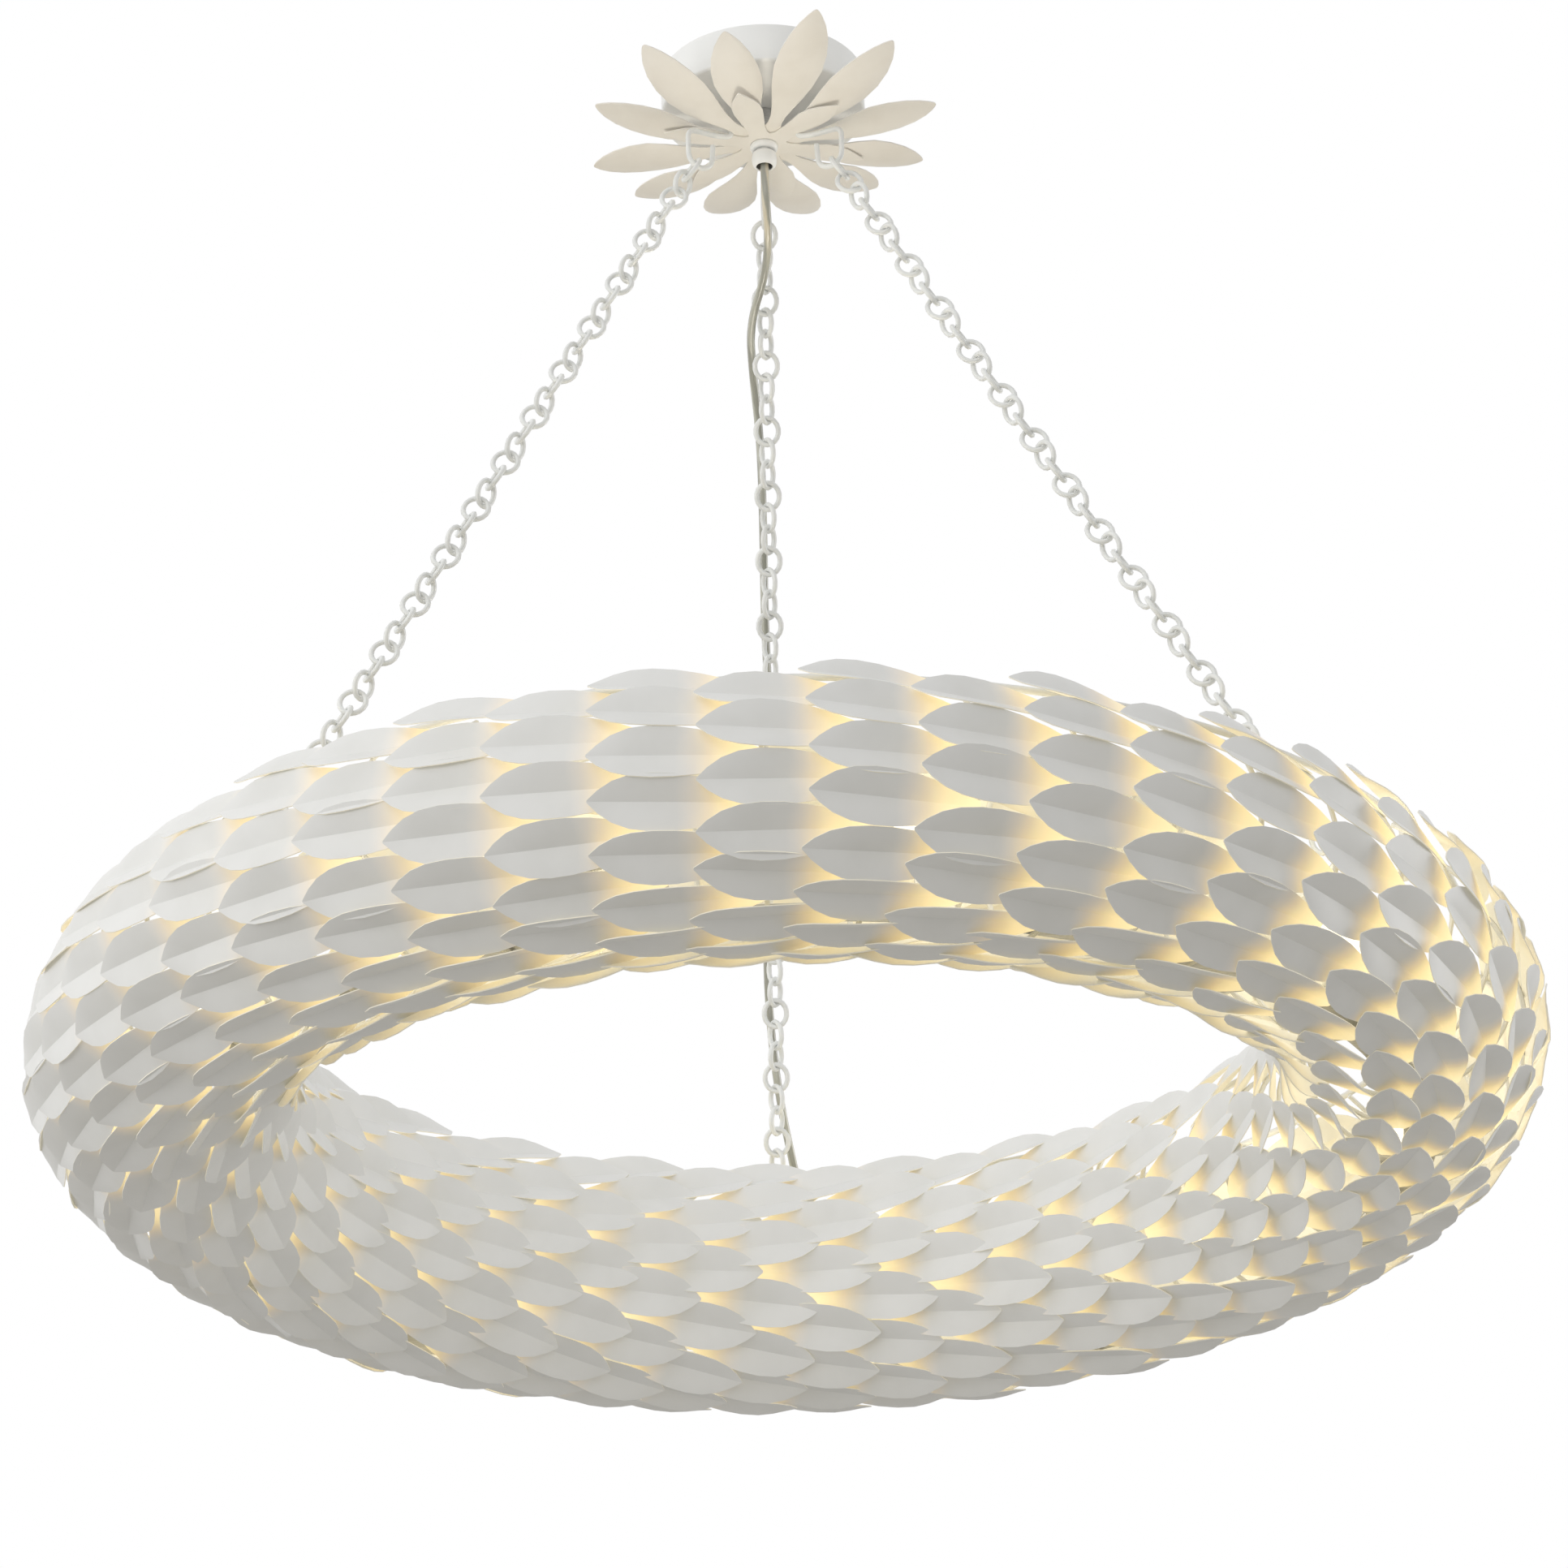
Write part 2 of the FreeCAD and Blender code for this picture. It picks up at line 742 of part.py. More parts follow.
def make_lamps():
    profile = [(0, lamp_tip), (lamp_shoulder_radius, lamp_shoulder), (lamp_belly_radius, lamp_belly),
               (lamp_cap_radius, holder_mouth),
               (lamp_cap_radius, holder_mouth + holder_bore_depth - seat_gap)]
    lamp = stacked_rings(profile, lamp_sides, lying_angle)
    holder = polygon_prism(holder_radius, lamp_sides, holder_mouth, holder_mouth + holder_length, lying_angle)
    holder = holder.cut(polygon_prism(lamp_cap_radius + holder_bore_gap, lamp_sides,
                                      holder_mouth - holder_length, holder_mouth + holder_bore_depth,
                                      lying_angle))
    bracket_top = lamp_height - holder_radius - weld_gap
    bracket_low = channel_top + weld_gap
    bracket = Part.makeBox(bracket_width, bracket_thickness, bracket_top - bracket_low,
                           Vector(ring_radius - bracket_width / 2, bracket_place, bracket_low))
    azimuths = [lamp_phase_angle + 360.0 / lamp_count * index for index in range(lamp_count)]
    for index, azimuth in enumerate(azimuths):
        save("lamp_%d" % (index + 1), [laid_along(lamp, azimuth)])
        save("lamp_holder_%d" % (index + 1), [laid_along(holder, azimuth)])
    save("lamp_brackets", [turned(bracket, azimuth) for azimuth in azimuths])


def make_channel():
    half_width = channel_width / 2
    half_height = channel_thickness / 2
    section = [(half_width, half_height), (-half_width, half_height),
               (-half_width, -half_height), (half_width, -half_height)]
    path = ring_path(ring_radius, (channel_low + channel_top) / 2)
    save("lamp_channel", [mitred_bar(path, section, up, closed=True)])
    half = harness_size / 2
    section = [(half, 0), (-half, 0), (0, harness_size)]
    path = ring_path(ring_radius - harness_inset, channel_top + weld_gap)
    save("wiring_harness", [mitred_bar(path, section, up, closed=True)])


def make_grommet():
    flange_low = floor_height + weld_gap
    body = polygon_prism(grommet_body / 2, round_sides, floor_height - saddle_thickness - grommet_skirt,
                         flange_low)
    flange = polygon_prism(grommet_flange / 2, round_sides, flange_low, flange_low + grommet_flange_height)
    bore = polygon_prism(grommet_bore / 2, round_sides, flange_low - grommet_flange,
                         flange_low + grommet_flange)
    grommet = body.fuse(flange).cut(bore).removeSplitter()
    grommet.translate(Vector(ring_radius, -grommet_place, 0))
    save("lead_grommet", [turned(grommet, saddle_azimuth)])
    skirt_low = floor_height - saddle_thickness - grommet_skirt
    half = ring_lead_size / 2
    path = [Vector(ring_radius, -grommet_place, skirt_low + ring_lead_overlap),
            Vector(ring_radius, -grommet_place, skirt_low - half),
            Vector(ring_radius + ring_lead_bow, -grommet_place, skirt_low - ring_lead_knee),
            Vector(ring_radius + ring_lead_bow, -grommet_place, channel_top + ring_lead_knee),
            Vector(ring_radius, -grommet_place, channel_top + half + weld_gap)]
    lead = mitred_bar(path, [(half, half), (-half, half), (0, -half)], across)
    save("ring_lead", [turned(lead, saddle_azimuth)])


# Flexible lead.
def rounded_route(points):
    """Points along straight runs joined by tangent arcs, with the arcs' radii and the route's length."""
    corners = [Vector(*point) for point in points]
    places = [corners[0]]
    radii = []
    length = 0
    start = corners[0]
    for before, corner, after in zip(corners, corners[1:], corners[2:]):
        arriving = before - corner
        leaving = after - corner
        turn = math.pi - arriving.getAngle(leaving)
        reach = 0.45 * min(arriving.Length, leaving.Length)
        radius = reach / math.tan(turn / 2)
        arriving.normalize()
        leaving.normalize()
        first = corner + arriving * reach
        inward = (arriving + leaving).normalize()
        centre = corner + inward * (radius / math.cos(turn / 2))
        spoke = first - centre
        axis = arriving.cross(leaving) * -1
        steps = math.ceil(math.degrees(turn) / flex_step_angle)
        for index in range(steps + 1):
            swing = FreeCAD.Rotation(axis, math.degrees(turn) / steps * index)
            places.append(centre + swing.multVec(spoke))
        length += (first - start).Length + radius * turn
        radii.append(radius)
        start = corner + leaving * reach
    places.append(corners[-1])
    return places, radii, length + (corners[-1] - start).Length


def sided_tube(places, diameter, sides):
    """A tube with flat sides along a path, cut square at its ends. Its corners lie on the diameter."""
    ways = [(after - before).normalize() for before, after in zip(places, places[1:])]
    first_side = ways[0].cross(Vector(1, 0, 0)).normalize()
    other_side = ways[0].cross(first_side)
    angles = [360.0 / sides * index for index in range(sides)]
    ring = [places[0] + (first_side * cosine(a) + other_side * sine(a)) * (diameter / 2) for a in angles]
    loops = [ring]
    for index, way in enumerate(ways):
        target = places[index + 1]
        mitre = way + ways[index + 1] if index + 1 < len(ways) else way
        following = [point + way * ((target - point).dot(mitre) / way.dot(mitre)) for point in ring]
        for corner in range(sides):
            other = (corner + 1) % sides
            loops.append([ring[corner], ring[other], following[other], following[corner]])
        ring = following
    loops.append(ring)
    return solid_of(loops)


def make_flex():
    places, radii, length = rounded_route(flex_route)
    tube = sided_tube(places, flex_diameter, flex_sides)
    section = flex_sides / 2 * sine(360.0 / flex_sides) * (flex_diameter / 2) ** 2
    print("flex length", round(length, 1), "smallest radius", round(min(radii), 1))
    print("flex radii", [round(radius) for radius in radii])
    print("flex volume over section times length", round(tube.Volume / (section * length), 4))
    save("flex", [tube])


make_crossbar()
make_stem()
make_drum()
make_flower()
make_hooks()
make_chains()
make_rails()
make_saddles()
make_hoops()
make_leaves()
make_channel()
make_lamps()
make_grommet()
make_flex()
print("sub-parts", len(saved_names))
print("ring height", round(ring_height, 3), "chain", round(chain_length, 3), "way",
      [round(value, 5) for value in chain_way])
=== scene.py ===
import math
import random

import bmesh
import bpy
from mathutils import Matrix, Vector


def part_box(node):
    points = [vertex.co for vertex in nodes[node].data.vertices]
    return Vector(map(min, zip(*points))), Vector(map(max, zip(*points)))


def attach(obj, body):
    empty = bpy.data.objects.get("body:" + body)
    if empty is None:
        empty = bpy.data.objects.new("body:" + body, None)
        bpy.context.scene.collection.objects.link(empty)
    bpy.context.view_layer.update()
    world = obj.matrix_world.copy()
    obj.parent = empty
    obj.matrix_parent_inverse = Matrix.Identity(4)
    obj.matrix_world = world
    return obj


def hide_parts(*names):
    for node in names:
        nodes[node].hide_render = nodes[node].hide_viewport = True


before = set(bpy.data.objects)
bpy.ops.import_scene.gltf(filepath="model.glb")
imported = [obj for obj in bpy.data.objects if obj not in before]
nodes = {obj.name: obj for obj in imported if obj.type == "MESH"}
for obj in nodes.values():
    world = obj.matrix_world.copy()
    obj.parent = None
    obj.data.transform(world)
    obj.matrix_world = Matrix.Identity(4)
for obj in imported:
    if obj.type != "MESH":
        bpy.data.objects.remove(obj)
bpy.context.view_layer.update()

dice = random.Random(7)
mm = 0.001  # sizes below are in millimetres, and the scene is in metres


# selecting, shaping and finishing

def deselectAll():
    if bpy.context.object and bpy.context.object.mode != "OBJECT":
        bpy.ops.object.mode_set(mode="OBJECT")
    bpy.ops.object.select_all(action="DESELECT")


def makeActive(piece):
    deselectAll()
    piece.select_set(True)
    bpy.context.view_layer.objects.active = piece


def editVerts(piece, test):  # edit mode, with only the vertices that pass the test selected
    makeActive(piece)
    bpy.ops.object.mode_set(mode="EDIT")
    bpy.ops.mesh.select_mode(type="VERT")
    bpy.ops.mesh.select_all(action="DESELECT")
    bm = bmesh.from_edit_mesh(piece.data)
    for vert in bm.verts:
        vert.select_set(test(vert.co))
    bm.select_flush_mode()
    bmesh.update_edit_mesh(piece.data)


def editFaces(piece, test):
    makeActive(piece)
    bpy.ops.object.mode_set(mode="EDIT")
    bpy.ops.mesh.select_mode(type="FACE")
    bpy.ops.mesh.select_all(action="DESELECT")
    bm = bmesh.from_edit_mesh(piece.data)
    for face in bm.faces:
        face.select_set(test(face.calc_center_median(), face.normal))
    bmesh.update_edit_mesh(piece.data)


def leaveEdit():
    bpy.ops.object.mode_set(mode="OBJECT")


def applyPlace(piece):
    makeActive(piece)
    bpy.ops.object.transform_apply(location=True, rotation=True, scale=True)


def addModifier(piece, kind, **settings):
    modifier = piece.modifiers.new(kind.lower(), kind)
    for name, value in settings.items():
        setattr(modifier, name, value)
    makeActive(piece)
    bpy.ops.object.modifier_apply(modifier=modifier.name)


def smoothByAngle(piece, degrees=35):
    makeActive(piece)
    bpy.ops.object.shade_smooth_by_angle(angle=math.radians(degrees))


def fixNormals(piece):
    makeActive(piece)
    bpy.ops.object.mode_set(mode="EDIT")
    bpy.ops.mesh.select_all(action="SELECT")
    bpy.ops.mesh.remove_doubles(threshold=0.00001)
    bpy.ops.mesh.normals_make_consistent(inside=False)
    leaveEdit()


def copyTo(source, spot):  # a copy with its own mesh, moved inside its mesh
    copy = source.copy()
    copy.data = source.data.copy()
    copy.data.transform(spot)
    bpy.context.scene.collection.objects.link(copy)
    return copy


def joinPieces(pieces, name):
    deselectAll()
    for piece in pieces:
        piece.select_set(True)
    bpy.context.view_layer.objects.active = pieces[0]
    if len(pieces) > 1:
        bpy.ops.object.join()
    pieces[0].name = name
    pieces[0].data.name = name
    return pieces[0]


def stampCopies(source, spots, name):
    return joinPieces([copyTo(source, spot) for spot in spots], name)


def dropSource(piece):
    bpy.data.objects.remove(piece, do_unlink=True)


def setMaterial(piece, *materials):
    piece.data.materials.clear()
    for material in materials:
        piece.data.materials.append(material)


def place(piece, body, slotName, *replaced):
    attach(piece, body)
    if replaced:
        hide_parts(*replaced)


def azimuthTurn(degrees):
    return Matrix.Rotation(math.radians(degrees), 4, "Z")


cornerSteps = 5


# a bent round wire: straight runs in millimetres with rounded corners, made a mesh
def wirePiece(points, radius, name, rounding=0.45, sides=10):
    corners = [Vector(point) * mm for point in points]
    rounded = [corners[0]]
    for before, corner, after in zip(corners, corners[1:], corners[2:]):
        reach = rounding * min((before - corner).length, (after - corner).length)
        first = corner + (before - corner).normalized() * reach
        last = corner + (after - corner).normalized() * reach
        for step in range(cornerSteps + 1):
            share = step / cornerSteps
            rounded.append(first.lerp(corner, share).lerp(corner.lerp(last, share), share))
    rounded.append(corners[-1])
    curve = bpy.data.curves.new(name, "CURVE")
    curve.dimensions = "3D"
    curve.bevel_depth = radius * mm
    curve.bevel_resolution = max(1, sides // 2 - 2)
    curve.use_fill_caps = True
    spline = curve.splines.new("POLY")
    spline.points.add(len(rounded) - 1)
    for spot, point in zip(spline.points, rounded):
        spot.co = (*point, 1)
    wire = bpy.data.objects.new(name, curve)
    bpy.context.scene.collection.objects.link(wire)
    makeActive(wire)
    bpy.ops.object.convert(target="MESH")
    wire = bpy.context.object
    fixNormals(wire)
    smoothByAngle(wire, 50)
    return wire


# a round piece: one circle drawn out ring by ring along (radius, height), in millimetres
def turnedPiece(name, profile, sides=48, capped=False, smooth=35):
    deselectAll()
    radius, height = profile[0]
    bpy.ops.mesh.primitive_circle_add(vertices=sides, radius=radius * mm, location=(0, 0, height * mm),
                                      fill_type="NGON" if capped else "NOTHING")
    piece = bpy.context.object
    piece.name = name
    applyPlace(piece)
    bpy.ops.object.mode_set(mode="EDIT")
    bpy.ops.mesh.select_mode(type="FACE" if capped else "EDGE")
    bpy.ops.mesh.select_all(action="SELECT")
    for (lastRadius, lastHeight), (radius, height) in zip(profile, profile[1:]):
        move = {"value": (0, 0, (height - lastHeight) * mm)}
        if capped:
            bpy.ops.mesh.extrude_region_move(TRANSFORM_OT_translate=move)
        else:
            bpy.ops.mesh.extrude_edges_move(TRANSFORM_OT_translate=move)
        ratio = radius / lastRadius
        bpy.ops.transform.resize(value=(ratio, ratio, 1), center_override=(0, 0, height * mm))
    leaveEdit()
    fixNormals(piece)
    smoothByAngle(piece, smooth)
    return piece


def roundSection(radius, height, wire, sides):  # the closed profile of a turned round wire
    turns = [math.radians(360 / sides * step) for step in range(sides + 1)]
    return [(radius + wire * math.cos(angle), height + wire * math.sin(angle)) for angle in turns]


# finishes: shader maths written as expressions

class Sock:
    def __init__(self, tree, socket):
        self.tree = tree
        self.socket = socket

    def make(self, kind, settings=None, out=0, **inputs):  # any node, with its settings and its sockets
        node = self.tree.nodes.new(kind)
        for name, value in (settings or {}).items():
            if name == "stops":
                ramp = node.color_ramp
                while len(ramp.elements) < len(value):
                    ramp.elements.new(0.5)
                for element, (position, colour) in zip(ramp.elements, value):
                    element.position = position
                    element.color = (*colour, 1)
            else:
                setattr(node, name, value)
        for name, value in inputs.items():
            key = int(name[1:]) if name[0] == "i" and name[1:].isdigit() else name.replace("_", " ")
            target = node.inputs[key]
            if isinstance(value, Sock):
                self.tree.links.new(value.socket, target)
            else:
                target.default_value = value
        return Sock(self.tree, node.outputs[out])

    def maths(self, operation, other=0.0, swap=False):
        first, second = (other, self) if swap else (self, other)
        return self.make("ShaderNodeMath", {"operation": operation}, i0=first, i1=second)

    def __add__(self, other):
        return self.maths("ADD", other)

    __radd__ = __add__

    def __mul__(self, other):
        return self.maths("MULTIPLY", other)

    __rmul__ = __mul__

    def __sub__(self, other):
        return self.maths("SUBTRACT", other)

    def __rsub__(self, other):
        return self.maths("SUBTRACT", other, swap=True)

    def clamp(self, low, high):  # 0 at low, 1 at high, smooth between
        return self.make("ShaderNodeMapRange", {"interpolation_type": "SMOOTHSTEP"},
                         i0=self, i1=low, i2=high, i3=0.0, i4=1.0)

    def blend(self, first, second):  # two colours mixed by this mask
        return self.make("ShaderNodeMix", {"data_type": "RGBA"}, out=2, i0=self, i6=first, i7=second)

    def ramp(self, stops):
        return self.make("ShaderNodeValToRGB", {"stops": stops}, i0=self)


def rgba(colour):
    return (*colour, 1.0)


def valueFrom(tree, kind, output):  # a node that takes nothing in
    return Sock(tree, tree.nodes.new(kind).outputs[output])


def startMaterial(name):
    material = bpy.data.materials.new(name)
    material.use_nodes = True
    tree = material.node_tree
    return material, tree, tree.nodes["Principled BSDF"], valueFrom(tree, "ShaderNodeTexCoord", "Object")


def link(tree, value, shader, name):
    tree.links.new(value.socket, shader.inputs[name])


# sprayed paint: faint cloudy tone, fine orange-peel bump and uneven gloss
def paintFinish(name, colour, shade, roughness=0.42, grain=900.0, bump=0.12, coat=0.0):
    material, tree, shader, where = startMaterial(name)
    cloud = where.make("ShaderNodeTexNoise", Vector=where, Scale=38.0, Detail=3.0)
    peel = where.make("ShaderNodeTexNoise", Vector=where, Scale=grain, Detail=2.0)
    link(tree, cloud.clamp(0.35, 0.75).blend(rgba(colour), rgba(shade)), shader, "Base Color")
    link(tree, peel * 0.12 + (roughness - 0.06), shader, "Roughness")
    link(tree, peel.make("ShaderNodeBump", Height=peel, Strength=bump, Distance=0.0003), shader, "Normal")
    shader.inputs["Coat Weight"].default_value = coat
    return material


# plated steel with fine drawn lines
def brushedFinish(name, colour, shade, roughness=0.34):
    material, tree, shader, where = startMaterial(name)
    stretched = where.make("ShaderNodeMapping", Vector=where, Scale=(60.0, 900.0, 900.0))
    lines = where.make("ShaderNodeTexNoise", Vector=stretched, Scale=1.0, Detail=4.0)
    link(tree, lines.clamp(0.3, 0.7).blend(rgba(colour), rgba(shade)), shader, "Base Color")
    link(tree, lines * 0.2 + (roughness - 0.1), shader, "Roughness")
    link(tree, lines.make("ShaderNodeBump", Height=lines, Strength=0.1, Distance=0.0002), shader, "Normal")
    shader.inputs["Metallic"].default_value = 0.9
    return material


# paint and shade are the leaf's own tones; the rest is painted lamp light: a warm tint and a glow on the base
# end, and glowing inner faces and rims
leafLook = {
    "paint": (0.83, 0.83, 0.81),
    "shade": (0.79, 0.79, 0.765),
    "paintedLampTint": (0.87, 0.77, 0.61),
    "lampTintFrom": 0.18, "lampTintTo": 0.46,
    "glowStops": [(0.0, (0.50, 0.44, 0.25)), (0.20, (0.37, 0.305, 0.145)), (0.31, (0.185, 0.13, 0.045)),
                  (0.40, (0.07, 0.04, 0.01)), (0.49, (0.0, 0.0, 0.0))],
    "inside": (1.0, 0.92, 0.66), "insideStrength": 0.18,
    "edge": (0.62, 0.58, 0.46), "edgeStrength": 0.30,
}


# white paint, with painted lamp light over the base end of each leaf: a warm tint in the base colour and a
# glow, standing for lamp light that creeps out there
def leafFinish():
    material, tree, shader, where = startMaterial("leafWhite")
    uv = valueFrom(tree, "ShaderNodeTexCoord", "UV")
    along = uv.make("ShaderNodeSeparateXYZ", i0=uv)
    cloud = where.make("ShaderNodeTexNoise", Vector=where, Scale=30.0, Detail=3.0)
    peel = where.make("ShaderNodeTexNoise", Vector=where, Scale=1100.0, Detail=2.0)
    paint = cloud.clamp(0.35, 0.75).blend(rgba(leafLook["paint"]), rgba(leafLook["shade"]))
    # painted lamp light: a warm tint in the base colour and a glow, both fading out from the leaf's base end
    reach = along + (cloud - 0.5) * 0.12
    lampTintMask = 1 - reach.clamp(leafLook["lampTintFrom"], leafLook["lampTintTo"])
    link(tree, lampTintMask.blend(paint, rgba(leafLook["paintedLampTint"])), shader, "Base Color")
    link(tree, reach.ramp(leafLook["glowStops"]), shader, "Emission Color")
    shader.inputs["Emission Strength"].default_value = 1.0
    link(tree, peel * 0.12 + 0.4, shader, "Roughness")
    link(tree, peel.make("ShaderNodeBump", Height=peel, Strength=0.1, Distance=0.0002), shader, "Normal")
    return material


# an emitting face: the lamp's own glass, or a painted face with painted lamp light, a glow standing for the
# lamps lighting it from close by
def glowFinish(name, colour, strength, paint=(0.80, 0.77, 0.68)):
    material, tree, shader, where = startMaterial(name)
    cloud = where.make("ShaderNodeTexNoise", Vector=where, Scale=22.0, Detail=2.0).clamp(0.3, 0.7)
    softer = tuple(0.8 * value for value in colour)
    darker = tuple(0.96 * value for value in paint)
    link(tree, cloud.blend(rgba(colour), rgba(softer)), shader, "Emission Color")
    link(tree, cloud.blend(rgba(paint), rgba(darker)), shader, "Base Color")
    shader.inputs["Emission Strength"].default_value = strength
    shader.inputs["Roughness"].default_value = 0.5
    return material


# clear sheath over two pale wires that turn slowly inside it
def sheathFinish(name, core, gap, exitCore, twist=7.0):
    material, tree, shader, where = startMaterial(name)
    uv = valueFrom(tree, "ShaderNodeTexCoord", "UV")
    parts = {axis: uv.make("ShaderNodeSeparateXYZ", i0=uv, out=index) for index, axis in enumerate("xy")}
    cloud = where.make("ShaderNodeTexNoise", Vector=where, Scale=90.0, Detail=4.0)
    stripe = (parts["x"] * twist + parts["y"] * 2.0 + cloud * 0.35) * (2 * math.pi)
    wave = stripe.maths("SINE").clamp(-0.6, 0.6)
    body = parts["x"].clamp(0.07, 0.16).blend(rgba(exitCore), rgba(core))
    link(tree, wave.blend(rgba(gap), body), shader, "Base Color")
    link(tree, cloud * 0.15 + 0.14, shader, "Roughness")
    link(tree, wave.make("ShaderNodeBump", Height=wave, Strength=0.25, Distance=0.0004), shader, "Normal")
    shader.inputs["Coat Weight"].default_value = 0.6
    return material


leafWhite = leafFinish()
# painted lamp light: the leaves' inner faces and rims glow as if the lamps lit them from close by
leafInsideLampLight = glowFinish("leafInsideLampLight", leafLook["inside"], leafLook["insideStrength"])
leafEdgeLampLight = glowFinish("leafEdgeLampLight", leafLook["edge"], leafLook["edgeStrength"])
wireWhite = paintFinish("wireWhite", (0.80, 0.80, 0.78), (0.74, 0.74, 0.72), roughness=0.4)
chainWhite = paintFinish("chainWhite", (0.86, 0.87, 0.85), (0.80, 0.81, 0.79), roughness=0.32, coat=0.3)
drumWhite = paintFinish("drumWhite", (0.93, 0.935, 0.92), (0.90, 0.905, 0.89), roughness=0.38)
petalCream = paintFinish("petalCream", (0.88, 0.845, 0.78), (0.84, 0.80, 0.73), roughness=0.5)
platedSteel = brushedFinish("platedSteel", (0.62, 0.62, 0.62), (0.5, 0.5, 0.5))
bushWhite = paintFinish("bushWhite", (0.78, 0.78, 0.76), (0.74, 0.74, 0.72), roughness=0.6)
rubberPale = paintFinish("rubberPale", (0.68, 0.68, 0.66), (0.6, 0.6, 0.58), roughness=0.75, bump=0.25)
holderGlaze = paintFinish("holderGlaze", (0.80, 0.78, 0.73), (0.76, 0.74, 0.69), roughness=0.2, coat=0.5)
lampGlow = glowFinish("lampGlow", (1.0, 0.94, 0.78), 1.6, paint=(0.9, 0.88, 0.8))
flexClear = sheathFinish("flexClear", (0.50, 0.50, 0.43), (0.36, 0.36, 0.31), (0.66, 0.60, 0.46))
print("materials made")


# the camera stands below the ring and looks up, as in the photograph
cameraPlace = {"place": (-0.06869, -2.9043, -1.8761), "pitch": 0.4458, "yaw": 0.0244, "roll": -0.0258,
               "lens": 126.0, "sensor": 36.0, "farEnd": 50.0}


def makeCamera():
    settings = bpy.data.cameras.new("photoCamera")
    settings.lens = cameraPlace["lens"]
    settings.sensor_width = cameraPlace["sensor"]
    settings.clip_end = cameraPlace["farEnd"]
    camera = bpy.data.objects.new("photoCamera", settings)
    turn = (Matrix.Rotation(-cameraPlace["yaw"], 4, "Z")
            @ Matrix.Rotation(math.pi / 2 + cameraPlace["pitch"], 4, "X")
            @ Matrix.Rotation(cameraPlace["roll"], 4, "Z"))
    camera.matrix_world = Matrix.Translation(cameraPlace["place"]) @ turn
    bpy.context.scene.collection.objects.link(camera)
    bpy.context.scene.camera = camera


makeCamera()

flexLead = {
    "diameter": 5.2, "length": 706.5, "exit": (0, 0, -64.0),
    "route": [(0, 0, -59.5), (0, 0.5, -82), (2, 20, -101), (0, 47.5, -112.8), (-10, 74, -132.4),
              (-8.5, 101, -151), (-4, 127, -184.9), (-3, 148.1, -235.4), (-3, 181.7, -290),
              (0, 215.5, -349),
              (-1, 248, -411), (-5, 276.6, -468.3), (-3, 307.1, -515.4), (3, 329.1, -558.1),
              (10, 344.5, -589.6), (16, 357, -617), (16, 357, -642.1)],
}


def makeFlex():
    curve = bpy.data.curves.new("flexLead", "CURVE")
    curve.dimensions = "3D"
    curve.bevel_depth = flexLead["diameter"] / 2 * mm
    curve.bevel_resolution = 4
    curve.resolution_u = 12
    curve.use_fill_caps = True
    spline = curve.splines.new("NURBS")
    spline.points.add(len(flexLead["route"]) - 1)
    for point, spot in zip(spline.points, flexLead["route"]):
        point.co = (spot[0] * mm, spot[1] * mm, spot[2] * mm, 1.0)
    spline.order_u = 3
    spline.use_endpoint_u = True
    lead = bpy.data.objects.new("flexLead", curve)
    bpy.context.scene.collection.objects.link(lead)
    setMaterial(lead, flexClear)
    place(lead, "chain_rear", "clear_sheath", "flex")


makeFlex()
print("camera and lead placed")


# leaves in rows and columns round the ring
ring = {"radius": 357.0, "height": -672.098, "columns": 48, "phase": -2.6, "rowPitch": 22.5, "topRow": 45.0,
        "longRows": 13, "seat": 64.0}
leaf = {"length": 90.0, "halfWidth": 14.8, "foldRise": 4.8, "midRise": 0.66, "thickness": 0.6, "gap": 0.1,
        "tipRise": 13.8, "tipSwing": 1.0, "hoopHalf": 1.5, "liftPlay": (-0.018, 0.014), "rollPlay": 3.2,
        "yawPlay": 2.6, "lowRowDip": 0.056,  # the lowest rows stay inside the solids' height
        "stations": [0.0, 0.2, 0.37, 0.51, 0.64, 0.76, 0.86, 0.94, 1.0],
        "widthShares": [0.2, 0.64, 0.87, 0.98, 1.0, 0.92, 0.71, 0.39, 0.04]}  # the last is the tip
sectors = {"left": 210.0, "right": 330.0, "rear": 90.0}


